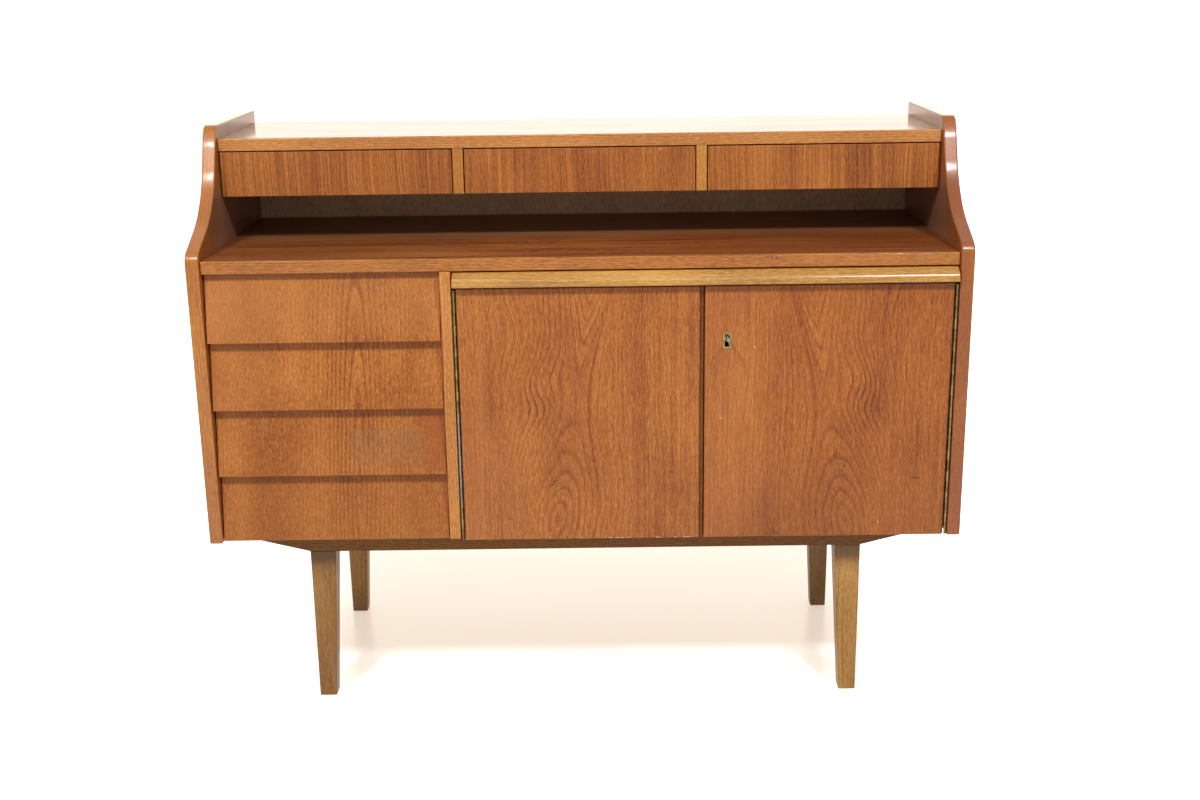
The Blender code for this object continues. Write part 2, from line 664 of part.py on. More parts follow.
def make_lock(steel, brass, right_body):
    low, high = lock_case_corners()
    wall = Vector((LOCK_WALL, LOCK_WALL, LOCK_WALL))
    case = board("lock_case", low, high, steel, right_body, eased=False)
    hollow = bmesh.new()
    box(hollow, low + wall, high - wall)
    join_shape(case, hollow, "DIFFERENCE")
    holes = bmesh.new()
    rod(holes, (KEY_X, low.y - LOCK_CASE_Y, KEY_Z),
        (KEY_X, low.y + LOCK_CASE_Y / 2, KEY_Z), SHANK_RADIUS + 2 * FIT, 12)
    join_shape(case, holes, "DIFFERENCE")
    bit_way = bmesh.new()
    half = BOW_THICK / 2 + 2 * FIT
    box(bit_way, (-half, low.y - LOCK_CASE_Y, -BIT_REACH - 2 * FIT),
        (half, low.y + LOCK_CASE_Y / 2, 0))
    bmesh.ops.transform(bit_way, matrix=key_plane(), verts=bit_way.verts)
    join_shape(case, bit_way, "DIFFERENCE")
    bolt_low, bolt_high = lock_bolt_corners()
    mouth = bmesh.new()
    air = Vector((0, FIT, FIT))
    box(mouth, bolt_low - air - Vector((LOCK_BOLT_TRAVEL, 0, 0)), bolt_high + air)
    join_shape(case, mouth, "DIFFERENCE")

    bolt_body = make_body("lock_bolt_body", (bolt_low + bolt_high) / 2)
    board("lock_bolt", bolt_low, bolt_high, brass, bolt_body, eased=False)

    rim = bmesh.new()
    prism(rim, keyhole_outline(0), "Y", DOOR_Y - ESCUTCHEON_PROUD,
          DOOR_Y - ESCUTCHEON_PROUD + ESCUTCHEON_DEPTH)
    escutcheon = place("escutcheon", rim, brass, right_body)
    opening = bmesh.new()
    prism(opening, keyhole_outline(-KEYHOLE_RIM), "Y", DOOR_Y - ESCUTCHEON_DEPTH,
          DOOR_Y + 2 * ESCUTCHEON_DEPTH)
    join_shape(escutcheon, opening, "DIFFERENCE")


def make_key(steel):
    """Key in the lock: shank along Y, bow and bit in one plane through the shank."""
    axis = Vector((KEY_X, 0, KEY_Z))
    body = make_body("key_body", axis + Vector((0, DOOR_Y, 0)))
    tip_y = FRONT_Y - KEY_REACH
    bow_centre = tip_y + BOW_LENGTH / 2
    bit_y0 = DOOR_BACK_Y + FIT + LOCK_WALL + 2 * FIT
    shank = bmesh.new()
    rod(shank, axis + Vector((0, tip_y + BOW_LENGTH - BOW_RIM / 2, 0)),
        axis + Vector((0, bit_y0 + BIT_WIDTH + FIT, 0)), SHANK_RADIUS, 12)
    node = place("key", shank, steel, body, smooth=True)

    def oval(bm, half_y, half_z, half_x, sides):
        outline = []
        for step in range(sides):
            angle = 2 * math.pi * step / sides
            outline.append((bow_centre + half_y * math.cos(angle), half_z * math.sin(angle)))
        prism(bm, outline, "X", -half_x, half_x)
        bmesh.ops.transform(bm, matrix=key_plane(), verts=bm.verts)

    bow = bmesh.new()
    oval(bow, BOW_LENGTH / 2, BOW_WIDTH / 2, BOW_THICK / 2, 20)
    join_shape(node, bow, "UNION")
    eye = bmesh.new()
    oval(eye, BOW_LENGTH / 2 - BOW_RIM, BOW_WIDTH / 2 - BOW_RIM, BOW_THICK, 16)
    join_shape(node, eye, "DIFFERENCE")
    bit = bmesh.new()
    box(bit, (-BOW_THICK / 2, bit_y0, -BIT_REACH), (BOW_THICK / 2, bit_y0 + BIT_WIDTH, 0))
    bmesh.ops.transform(bit, matrix=key_plane(), verts=bit.verts)
    join_shape(node, bit, "UNION")


def make_door_bolt(steel, brass, left_body):
    """Slide bolt on the back of the left door, drawn down, and the plate that guides it."""
    x0 = BOLT_X - BOLT_PLATE_X / 2
    plate_top = BOLT_TIP_Z - BOLT_TRAVEL
    knob_z = BOLT_TIP_Z - BOLT_LENGTH + BOLT_TAIL
    plate_y = DOOR_BACK_Y + FIT
    plate = board("door_bolt_plate", (x0, plate_y, plate_top - BOLT_PLATE_Z),
                  (x0 + BOLT_PLATE_X, plate_y + BOLT_PLATE_Y, plate_top), brass, left_body,
                  eased=False)
    channel = bmesh.new()
    rod(channel, (BOLT_X, BOLT_Y, plate_top - 2 * BOLT_PLATE_Z),
        (BOLT_X, BOLT_Y, plate_top + BOLT_PLATE_Z), BOLT_RADIUS + FIT, 12)
    join_shape(plate, channel, "DIFFERENCE")
    slot = bmesh.new()
    half = BOLT_KNOB_RADIUS + FIT
    box(slot, (BOLT_X - half, BOLT_Y, knob_z - half - FIT),
        (BOLT_X + half, BOLT_Y + BOLT_PLATE_Y, knob_z + BOLT_TRAVEL + half + FIT))
    join_shape(plate, slot, "DIFFERENCE")

    body = make_body("door_bolt_body", (BOLT_X, BOLT_Y, BOLT_TIP_Z))
    bm = bmesh.new()
    rod(bm, (BOLT_X, BOLT_Y, BOLT_TIP_Z - BOLT_LENGTH), (BOLT_X, BOLT_Y, BOLT_TIP_Z),
        BOLT_RADIUS, 12)
    node = place("door_bolt", bm, steel, body, smooth=True)
    knob = bmesh.new()
    rod(knob, (BOLT_X, BOLT_Y, knob_z), (BOLT_X, BOLT_Y + BOLT_KNOB_REACH, knob_z),
        BOLT_KNOB_RADIUS, 10)
    join_shape(node, knob, "UNION")


def hinge_leaf(name, axis_x, side, own_first, metal, body):
    """One leaf of a piano hinge: a plate on the wood with knuckles curled round the pin.
    side is +1 where the plate lies to +X of the pin, and own_first says that the leaf
    has the lowest knuckle."""
    face = HINGE_GAP / 2 - FIT
    inner = face - HINGE_METAL
    outline = [(face, HINGE_LEAF), (face, CURL_INNER)]
    start = math.pi / 2
    sweep = 3 * math.pi / 2 + CURL_END_ANGLE
    angles = [start + sweep * step / CURL_STEPS for step in range(CURL_STEPS + 1)]
    outline += [(CURL_INNER * math.cos(a), CURL_INNER * math.sin(a)) for a in angles]
    outline += [(CURL_OUTER * math.cos(a), CURL_OUTER * math.sin(a)) for a in reversed(angles)]
    outline += [(inner, CURL_OUTER), (inner, HINGE_LEAF)]
    low = DOOR_UNDER + HINGE_END
    high = DOOR_TOP - HINGE_END
    bm = bmesh.new()
    prism(bm, [(axis_x + side * u, HINGE_Y + v) for u, v in outline], "Z", low, high)
    node = place(name, bm, metal, body, smooth=True)
    pitch = (high - low) / KNUCKLES
    notches = bmesh.new()
    first = 1 if own_first else 0
    for index in range(first, KNUCKLES, 2):
        foot = low + index * pitch - FIT / 2
        head = foot + pitch + FIT
        box(notches, (axis_x - HINGE_GAP, HINGE_Y - HINGE_GAP, foot),
            (axis_x + HINGE_GAP, HINGE_Y + CURL_OUTER + HINGE_METAL, head))
    join_shape(node, notches, "DIFFERENCE")


def make_hinge(name, axis_x, case_side, metal, door_body):
    hinge_leaf(f"{name}_case_leaf", axis_x, case_side, True, metal, None)
    hinge_leaf(f"{name}_door_leaf", axis_x, -case_side, False, metal, door_body)
    bm = bmesh.new()
    rod(bm, (axis_x, HINGE_Y, DOOR_UNDER + HINGE_END), (axis_x, HINGE_Y, DOOR_TOP - HINGE_END),
        PIN_RADIUS, 8)
    place(f"{name}_pin", bm, metal, smooth=True)


def make_leg(name, side, front, wood):
    """One leg. Its two outer faces are upright and its two inner faces taper. The long
    rail sits in a notch at the top of its outer face."""
    if front:
        outer_y = FRONT_Y + LEG_FRONT_INSET
        inward = 1
    else:
        outer_y = BACK_Y - LEG_BACK_INSET
        inward = -1
    outer_x = side * (WIDTH / 2 - LEG_SIDE_INSET)
    crown = CASE_UNDER - FIT
    knee = crown - RAIL_HEIGHT - FIT
    bm = bmesh.new()
    rings = []
    for height, size in ((0.0, LEG_FOOT), (knee, LEG_TOP), (crown, LEG_TOP)):
        corners = ((0, 0), (size, 0), (size, size), (0, size))
        rings.append([bm.verts.new((outer_x - side * across, outer_y + inward * depth, height))
                      for across, depth in corners])
    for lower, upper in zip(rings, rings[1:]):
        for index in range(4):
            after = (index + 1) % 4
            bm.faces.new((lower[index], lower[after], upper[after], upper[index]))
    bm.faces.new(rings[0])
    bm.faces.new(rings[-1])
    node = place(name, bm, wood)
    soften(node, LEG_ROUND, 2)
    notch = bmesh.new()
    across = sorted((outer_x + side * LEG_TOP, outer_x - side * 2 * LEG_TOP))
    depth = sorted((outer_y - inward * RAIL, outer_y + inward * (RAIL + FIT)))
    box(notch, (across[0], depth[0], knee), (across[1], depth[1], crown + RAIL))
    join_shape(node, notch, "DIFFERENCE")


def make_base(leg_wood, rail_wood):
    for side_name, side in (("left", -1), ("right", 1)):
        make_leg(f"leg_front_{side_name}", side, True, leg_wood)
        make_leg(f"leg_back_{side_name}", side, False, leg_wood)

    top = CASE_UNDER - FIT
    under = top - RAIL_HEIGHT
    foot = WIDTH / 2 - RAIL_FOOT_INSET
    end = WIDTH / 2 - RAIL_END_INSET
    outline = [(-end, top), (-end, top - RAIL_END_HEIGHT), (-foot, under), (foot, under),
               (end, top - RAIL_END_HEIGHT), (end, top)]
    front_y = FRONT_Y + LEG_FRONT_INSET
    back_y = BACK_Y - LEG_BACK_INSET - RAIL
    for name, y in (("base_rail_front", front_y), ("base_rail_back", back_y)):
        bm = bmesh.new()
        prism(bm, outline, "Y", y, y + RAIL)
        soften(place(name, bm, rail_wood))

    cross_outer = WIDTH / 2 - LEG_SIDE_INSET - LEG_TOP - FIT
    for name, side in (("cross_rail_left", -1), ("cross_rail_right", 1)):
        ends = sorted((side * cross_outer, side * (cross_outer - CROSS_RAIL)))
        board(name, (ends[0], front_y + RAIL + FIT, top - CROSS_RAIL_HEIGHT),
              (ends[1], back_y - FIT, top), rail_wood)


def main():
    clear_scene()
    teak = make_material("teak", (0.42, 0.17, 0.055), 0.42)
    lipping_wood = make_material("teak_lipping", (0.55, 0.25, 0.085), 0.40)
    pale_wood = make_material("pale_edge", (0.50, 0.27, 0.085), 0.45)
    nosing_wood = make_material("honey_beech", (0.56, 0.32, 0.095), 0.38)
    leg_wood = make_material("stained_beech", (0.28, 0.16, 0.06), 0.50)
    rail_wood = make_material("dark_rail", (0.085, 0.052, 0.030), 0.60)
    inside_wood = make_material("inside_wood", (0.50, 0.36, 0.19), 0.60)
    back_wood = make_material("back_board", (0.16, 0.115, 0.075), 0.70)
    brass = make_material("brass", (0.60, 0.43, 0.18), 0.35, 1.0)
    hinge_metal = make_material("hinge_metal", (0.36, 0.31, 0.20), 0.40, 1.0)
    steel = make_material("steel", (0.42, 0.40, 0.38), 0.35, 1.0)

    make_sides(teak)
    make_divider(lipping_wood)
    make_tops(teak, lipping_wood)
    make_case_boards(teak, inside_wood, back_wood)
    make_bearer(inside_wood)
    make_bank(inside_wood, pale_wood)
    for number in range(1, DRAWER_COUNT + 1):
        make_large_drawer(number, DRAWER_COUNT - number, teak, inside_wood, inside_wood)
    for index, place_name in enumerate(("left", "middle", "right")):
        make_small_drawer(f"small_drawer_{place_name}", index, teak, inside_wood)
    make_leaf(teak, nosing_wood)

    left_pin_x = DIVIDER_X1 + HINGE_GAP / 2
    right_pin_x = INNER_X - HINGE_GAP / 2
    left_body = make_body("door_left_body", (left_pin_x, HINGE_Y, DOOR_UNDER))
    right_body = make_body("door_right_body", (right_pin_x, HINGE_Y, DOOR_UNDER))
    make_doors(teak, rail_wood, left_body, right_body)
    make_hinge("hinge_left", left_pin_x, -1, hinge_metal, left_body)
    make_hinge("hinge_right", right_pin_x, 1, hinge_metal, right_body)
    make_lock(steel, brass, right_body)
    make_key(steel)
    make_door_bolt(steel, brass, left_body)
    make_base(leg_wood, rail_wood)


main()
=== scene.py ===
"""Looks of the teak sideboard: its pieces in full detail, the woods and metals, the floor,
the light and the camera. Metres, +Z up and the front towards -Y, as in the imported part."""
import math

import bmesh
import bpy
from mathutils import Matrix, Vector


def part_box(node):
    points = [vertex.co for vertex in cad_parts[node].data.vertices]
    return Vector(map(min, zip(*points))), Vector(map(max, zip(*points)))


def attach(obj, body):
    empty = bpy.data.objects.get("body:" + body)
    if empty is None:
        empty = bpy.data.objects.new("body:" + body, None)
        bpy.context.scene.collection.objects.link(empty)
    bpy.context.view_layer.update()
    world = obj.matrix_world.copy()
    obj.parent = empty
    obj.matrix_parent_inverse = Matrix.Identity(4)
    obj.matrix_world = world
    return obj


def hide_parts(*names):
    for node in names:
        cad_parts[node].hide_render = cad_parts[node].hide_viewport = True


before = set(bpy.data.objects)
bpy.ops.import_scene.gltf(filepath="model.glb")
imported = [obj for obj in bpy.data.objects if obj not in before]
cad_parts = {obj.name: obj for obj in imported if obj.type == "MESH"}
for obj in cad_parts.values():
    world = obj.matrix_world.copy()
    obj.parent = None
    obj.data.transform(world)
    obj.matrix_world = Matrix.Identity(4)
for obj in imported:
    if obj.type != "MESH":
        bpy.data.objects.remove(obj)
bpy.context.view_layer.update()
scene = bpy.context.scene

FIT = 0.0003                # air between pieces that touch
PAST = 0.01                 # how far a cutter reaches past what it cuts
ARC_STEP = math.radians(5)  # longest step round a curved outline
SHARP = math.radians(35)    # edges that turn by more than this stay edges
WELD = 1e-6                 # corners closer than this are one
SPIN_AXES = {"X": Vector((1, 0, 0)), "Y": Vector((0, -1, 0)), "Z": Vector((0, 0, 1))}
DUST_PANELS = ["dust_panel_1", "dust_panel_2", "dust_panel_3"]

BARE_SHEEN = 0.022          # white that a bare surface adds to its colour
COAT_SHEEN = 0.034          # white that a full coat of lacquer adds
BLACKEST = 0.003            # least share of a colour


# ---- shader sums

def feed(tree, socket, value):
    """Give a node's input a link, a colour or a plain value."""
    if isinstance(value, Sock):
        tree.links.new(value.link, socket)
    elif socket.type == "RGBA":
        socket.default_value = (*value[:3], 1)
    else:
        socket.default_value = value


def sums(operation, swapped=False):
    """A method of a Sock that adds a Math node."""
    def method(self, *others):
        node = self.tree.nodes.new("ShaderNodeMath")
        node.operation = operation
        values = (*others, self) if swapped else (self, *others)
        for socket, value in zip(node.inputs, values):
            feed(self.tree, socket, value)
        return Sock(self.tree, node.outputs[0])
    return method


class Sock:
    """A number in a material's nodes. Sums on it add Math nodes."""

    def __init__(self, tree, link):
        self.tree = tree
        self.link = link

    __add__ = __radd__ = sums("ADD")
    __mul__ = __rmul__ = sums("MULTIPLY")
    __sub__, __rsub__ = sums("SUBTRACT"), sums("SUBTRACT", True)
    __truediv__, __rtruediv__ = sums("DIVIDE"), sums("DIVIDE", True)
    __pow__ = sums("POWER")
    size, root, sine = sums("ABSOLUTE"), sums("SQRT"), sums("SINE")
    fraction, exponential, larger = sums("FRACT"), sums("EXPONENT"), sums("MAXIMUM")

    def __neg__(self):
        return self * -1


def linear(tone):
    """A colour written as sRGB 0 to 255, as a shader reads it."""
    shares = [value / 255 for value in tone]
    return tuple(s / 12.92 if s <= 0.04045 else ((s + 0.055) / 1.055) ** 2.4
                 for s in shares)


def under_lacquer(tone, coat):
    """The wood's own colour where the lacquer adds a thin white sheen to it."""
    sheen = BARE_SHEEN + coat * COAT_SHEEN
    return tuple(max(BLACKEST, value - sheen) for value in linear(tone))


class Finish:
    """A material and its nodes. It keeps a slot name, which is not used."""

    def __init__(self, name, slot):
        self.material = bpy.data.materials.new(name)
        self.material.use_nodes = True
        self.tree = self.material.node_tree
        self.shader = self.tree.nodes["Principled BSDF"]
        self.slot = slot

    def node(self, kind, settings=None, values=None, out=0):
        """Add a node: its settings first, then the values or links of its inputs."""
        node = self.tree.nodes.new(kind)
        for key, value in (settings or {}).items():
            setattr(node, key, value)
        for key, value in (values or {}).items():
            feed(self.tree, node.inputs[key], value)
        return Sock(self.tree, node.outputs[out])

    def place(self):
        """The point on the piece, in metres."""
        return self.node("ShaderNodeTexCoord", out="Object")

    def split(self, vector):
        parts = self.node("ShaderNodeSeparateXYZ", values={0: vector})
        return [Sock(self.tree, socket) for socket in parts.link.node.outputs]

    def join(self, x, y, z):
        return self.node("ShaderNodeCombineXYZ", values={0: x, 1: y, 2: z})

    def vector(self, operation, first, second, out=0):
        return self.node("ShaderNodeVectorMath", {"operation": operation},
                         {0: first, 1: second}, out)

    def noise(self, where, fine, detail=2, rough=0.5):
        """Noise with its grains per metre along X, Y and Z."""
        scaled = self.vector("MULTIPLY", where, fine)
        return self.node("ShaderNodeTexNoise", values={
            "Vector": scaled, "Scale": 1, "Detail": detail, "Roughness": rough})

    def step(self, value, start, end):
        """A soft step from 0 at start to 1 at end. It falls where start is the larger."""
        return self.node("ShaderNodeMapRange", {"interpolation_type": "SMOOTHSTEP"},
                         {"Value": value, "From Min": start, "From Max": end})

    def mix(self, factor, first, second):
        return self.node("ShaderNodeMix", {"data_type": "RGBA"},
                         {0: factor, 6: first, 7: second}, 2)

    def stain(self, colour, share, tone):
        """Take a colour some of the way to a tone written as sRGB."""
        return self.mix(share, colour, linear(tone))

    def ramp(self, value, stops):
        colour = self.node("ShaderNodeValToRGB", values={0: value})
        elements = colour.link.node.color_ramp.elements
        elements.new(1)
        for element, (position, tone) in zip(elements, stops):
            element.position = position
            element.color = (*tone, 1)
        return colour

    def spots(self, where, spots):
        """1 inside small soft-edged spots given as (x, y, z, radius)."""
        total = None
        for x, y, z, radius in spots:
            away = self.vector("DISTANCE", where, (x, y, z), "Value")
            spot = self.step(away, radius, radius * 0.55)
            total = total.larger(spot) if total else spot
        return total

    def wear_and_shade(self, colour, place, rows):
        """Stain a colour by rows of a share, a tone and soft steps. Each step goes along
        x, y or z or over a noise, given as its grains and detail, from start to end."""
        along = dict(zip("xyz", self.split(place))) if rows else {}
        for share, tone, *steps in rows:
            for over, start, end in steps:
                value = along.get(over) or self.noise(place, over[:3], over[3])
                share = share * self.step(value, start, end)
            colour = self.stain(colour, share, tone)
        return colour

    def bump(self, height, depth):
        normal = self.node("ShaderNodeBump", values={
            "Height": height, "Strength": 1, "Distance": depth})
        self.feed(Normal=normal)

    def feed(self, **values):
        for key, value in values.items():
            feed(self.tree, self.shader.inputs[key.replace("_", " ")], value)


# ---- figures of the woods
# A figure gets the finish, the point in the grain, which the seed shifts, the place on
# the piece, and its own numbers.

def grain_scale(grain, across, along):
    """Grains per metre for fibres that run along one axis."""
    return tuple(along if axis == grain else across for axis in "XYZ")


def growth_lines(paint, board, phase, grain, strength, wander=0.9, detail=3):
    """Thin dark growth lines, one for each whole step of phase, some strong, some weak."""
    drift = paint.noise(board, grain_scale(grain, 26, 7), detail, 0.6)
    phase = phase + (drift - 0.5) * wander
    saw = phase.fraction()
    line = (1 - saw) ** 3 * paint.step(saw, 0, 0.12)
    power = paint.node("ShaderNodeTexNoise", {"noise_dimensions": "1D"},
                       {"W": phase * 0.43, "Scale": 1, "Detail": 1})
    fade = paint.noise(board, grain_scale(grain, 11, 5), 1)
    return (line - 0.24) * (power - 0.18) * (fade + 0.3) * (-strength * 2.6)


def cathedral(paint, board, place, axis_x, low_z, lean, side, swirl):
    """A door: nested ovals at the foot, arrow shapes at the top, a dark curve on their
    outer side, a swirl on the other, fine streaks beyond. side is -1 for a mirrored one."""
    line_gap, oval_length, oval_half, curve_out = 0.0078, 0.4, 0.042, 0.047
    swirl_aside, swirl_push = 0.052, 0.034
    x, _, z = paint.split(place)
    rise = z - low_z
    warp = paint.noise(board, (9, 9, 5))
    u = (x - axis_x) * side
    near = paint.step((u - 0.02).size(), 0.13, 0.035)
    u = u - rise * lean * near - (1 - near) * 0.028 + (warp - 0.5) * 0.012
    du = u + swirl_aside
    dv = z - swirl
    hill = (-(du * du) / 0.0011 - dv * dv / 0.0022).exponential()
    u = u + hill * (dv * 20).sine() * swirl_push
    squeeze = 1 - paint.step(z, low_z + 0.2, low_z) * near * 0.26
    depth = ((rise * (math.pi / oval_length)).sine() * oval_half).size()
    power = 2 - paint.step(rise, 0.16, 0.32) * 0.8
    ring = ((u * squeeze).size() ** power + depth ** power) ** (1 / power)
    phase = ring / line_gap
    outer = paint.step(u, 0, 0.01)
    curve = outer * paint.step((ring - curve_out).size(), 0.0018, 0.0003)
    band = (outer * paint.step(ring, 0.026, 0.044) * paint.step(rise, 0.14, 0.34)
            * paint.step(ring, 0.0478, 0.0462))
    lines = growth_lines(paint, board, phase, "Z", 0.43, 1, 2) * (0.4 + near * 0.6)
    fine = growth_lines(paint, board, phase * 2.4, "Z", 0.2, 1.8, 2)
    streak = paint.noise(board, (390, 2, 3), 1)
    # painted sheen: light bands across the swirl stand in for the shimmer of its figure
    painted_light = hill * (du * 60 + dv * 30).sine() * 0.14
    return (lines * (1 + hill * 1.8) + fine + (streak - 0.5) * (1.15 - near) * 0.46
            + painted_light - hill * 0.05 - curve * 0.17 - band * 0.12)


def arches(paint, board, place, axis_x, foot_z, lean):
    """The drawer fronts: slim arches that point upwards over all four."""
    x, _, z = paint.split(place)
    rise = z - foot_z
    warp = paint.noise(board, (12, 12, 5))
    u = x - axis_x - rise * lean + (warp - 0.5) * 0.01
    ring = (u * u + rise * rise * 0.0045).root()
    near = 1 - paint.step(u.size(), 0.03, 0.11) * 0.7
    lines = (growth_lines(paint, board, ring / 0.0068, "Z", 0.54, 0.9, 2)
             + growth_lines(paint, board, ring / 0.0029, "Z", 0.24, 1.4, 2))
    return lines * near - paint.step(u.size(), 0.055, 0.008) * 0.07


def stripes(paint, board, place, fine, strength, broad):
    """A quarter-cut veneer: upright fine uneven stripes."""
    bend = paint.noise(board, (5, 5, 7), 1)
    straight = paint.vector("ADD", board, paint.join((bend - 0.5) * 0.016, 0, 0))
    line = paint.noise(straight, (fine, 2, 2.6), 1)
    band = paint.noise(straight, (fine * 0.1, 2, 1.5))
    return (line - 0.5) * strength + (band - 0.5) * broad


def streaks(paint, board, place, strength):
    """A wide board with its grain along X: long soft streaks."""
    bend = paint.noise(board, (3, 5, 5), 1)
    straight = paint.vector("ADD", board, paint.join(0, (bend - 0.5) * 0.03, 0))
    return (paint.noise(straight, (2.6, 62, 62), 3, 0.6) - 0.5) * strength


def long_lines(paint, board, place, period, strength, across="Z"):
    """A board with its grain along X: long slightly wandering lines."""
    _, y, z = paint.split(place)
    warp = paint.noise(board, (2.2, 9, 9))
    phase = (y if across == "Y" else z) / period + (warp - 0.5) * 7
    return growth_lines(paint, board, phase, "X", strength)


def tall_lines(paint, board, place, period, strength, depth_share=0.9):
    """An upright board: long lines along Z."""
    x, y, _ = paint.split(place)
    warp = paint.noise(board, (9, 9, 2.2))
    phase = (x + y * depth_share) / period + (warp - 0.5) * 5
    return growth_lines(paint, board, phase, "Z", strength)


# ---- marks, wear and painted shade

# painted shade: a side edge is darker in the hollow of its curve, most on the right
HOLLOW_SHADE = ((0.34, (136, 76, 34), ("z", 0.748, 0.775), ("z", 0.87, 0.84)),
          (0.42, (118, 60, 28), ("z", 0.748, 0.775), ("z", 0.87, 0.84), ("x", -0.1, 0.1)))
# a leg has painted shade at its top, under the case, and is greyish where the front left
# foot is worn
LEG_SHADE_AND_WEAR = ((0.72, (84, 58, 36), ("z", 0.205, 0.258)),
            (0.4, (142, 128, 108), ("z", 0.1, 0), ("x", -0.3, -0.4),
             ((40, 40, 26, 2), 0.42, 0.6)))
WEAR_AND_SHADE = {
    # painted shade: duller and greyer where a side closes the niche, deeper in
    "side": ((0.5, (122, 100, 92), ("y", -0.16, -0.04), ("y", 0.237, 0.235),
              ("z", 0.74, 0.75), ("z", 0.85, 0.83)),),
    # a dull greyish back, painted shade in the niche, darker ends, and fine pale scuffs at
    # the front
    "top": ((0.5, (138, 106, 80), ("y", -0.06, 0.08)),
            (0.38, (104, 44, 10), ("x", -0.1, 0.5)),
            (0.3, (98, 50, 24), ("x", -0.05, -0.45)),
            (0.3, (196, 150, 112), ("y", -0.1, -0.186), ((60, 420, 60, 2), 0.6, 0.72))),
    # a paler lower left, and small pale nicks along the middle of the door's foot
    "door_left": ((0.2, (206, 132, 76), ("x", -0.04, -0.16), ("z", 0.56, 0.42)),
                  (0.85, (238, 222, 200), ("z", 0.2952, 0.294), ("x", -0.03, 0),
                   ((150, 60, 60, 1), 0.54, 0.6))),
    # a paler left and a darker foot
    "door_right": ((0.2, (212, 136, 78), ("x", 0.34, 0.2)),
                   (0.18, (104, 56, 26), ("z", 0.46, 0.29), ("x", 0.18, 0.3))),
    # paler above, darker below, with a greyish rubbed patch on the third front
    "drawer": ((0.25, (190, 126, 72), ("z", 0.6, 0.67)),
               (0.22, (214, 142, 82), ("x", -0.42, -0.54), ("z", 0.46, 0.54)),
               (0.32, (122, 60, 22), ("z", 0.6, 0.3)),
               (0.26, (146, 106, 74), ("x", -0.384, -0.35), ("x", -0.236, -0.268),
                ("z", 0.416, 0.436), ("z", 0.492, 0.466)),
               (0.35, (158, 74, 30), ("x", -0.262, -0.235), ("z", 0.51, 0.497),
                ("z", 0.405, 0.415))),
}


def dots(y, *rows):
    """Small spots on a face at depth y, each by its X, Z and radius in millimetres."""
    return [(x / 1000, y, z / 1000, radius / 1000) for x, z, radius in rows]


def list_marks():
    """Knots, nicks and nail holes of the woods, as (spots, colour, strength)."""
    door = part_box("door_left")[0].y
    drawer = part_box("drawer_1_front")[0].y
    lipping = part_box("main_top_lipping")[0].y
    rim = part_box("main_top_lipping")[1].z * 1000
    small, edge, hollow, leg_back = -0.029, -0.0295, -0.19, 0.195
    dark, pale = (96, 52, 30), (236, 214, 186)
    nails = [(dots(edge, (-592.2, 904.5, 2)) + dots(hollow, (-584.8, 782, 2)),
              (70, 38, 24), 0.75)]
    return {
        "door_left": [
            (dots(door, (-45.1, 389.6, 3.2), (-48, 385, 2), (-41.5, 392.5, 2),
                  (-49, 394, 1.4), (-44, 383.5, 1.3), (-144, 405, 1.8),
                  (-15, 688, 1.6)), dark, 0.8),
            (dots(door, (-120, 329, 2.6), (-116.5, 328.6, 2.6), (-113, 328, 2)),
             dark, 0.6)],
        "door_right": [
            (dots(door, (411.7, 410.2, 2.8), (408.5, 415, 2), (415, 418, 2),
                  (407, 403, 2), (414, 404, 1.4), (409, 421, 1.3),
                  (522.5, 389.8, 3), (526.5, 389, 3), (530.5, 388.6, 2.2),
                  (518.5, 389.4, 1.8), (518, 421, 2.2), (303.3, 300.4, 4.5),
                  (308, 299, 3)), dark, 0.8),
            (dots(door, (268.2, 605.6, 1.4), (216.8, 491.9, 1.6), (229, 540, 0.9),
                  (469, 315.2, 1.4), (468, 318.5, 1)), pale, 0.85)],
        "drawer": [
            (dots(drawer, (-403.5, 337.2, 10), (-430, 330, 8)), (112, 60, 32), 0.32),
            (dots(drawer, (-379.5, 621, 1.4), (-372, 620.9, 1)), pale, 0.6)],
        "edge_left": nails,
        "edge_right": nails,
        "small_left": [
            (dots(small, (-251.5, 837.6, 2), (-256, 836.8, 1.2), (-247, 838.5, 1)),
             (60, 36, 24), 0.85)],
        "small_middle": [
            (dots(small, (128.9, 891.6, 1.3), (131, 892.2, 1.1)), pale, 0.7)],
        "top_lipping": [
            (dots(lipping, (293.5, 744, 4.2), (299, 743.6, 4)), (126, 60, 30), 0.7),
            (dots(lipping, (296, 744.2, 1.6)), (222, 160, 92), 0.8),
            (dots(lipping, (487, rim, 1.6), (490, rim, 1.3), (484, rim, 1.2)),
             (244, 224, 198), 0.8)],
        "leg_back_right": [
            (dots(leg_back, (433.5, 250, 4), (420, 200, 5), (428, 150, 4)),
             (66, 42, 26), 0.5)],
    }


# ---- woods

def shades(tone, depth):
    """Dark and light neighbours of a wood's tone, as sRGB."""
    dark = tuple(v * (1 - s * depth) for v, s in zip(tone, (0.3, 0.38, 0.42)))
    light = tuple(min(255, v * (1 + s * depth)) for v, s in zip(tone, (0.2, 0.3, 0.34)))
    return dark, light


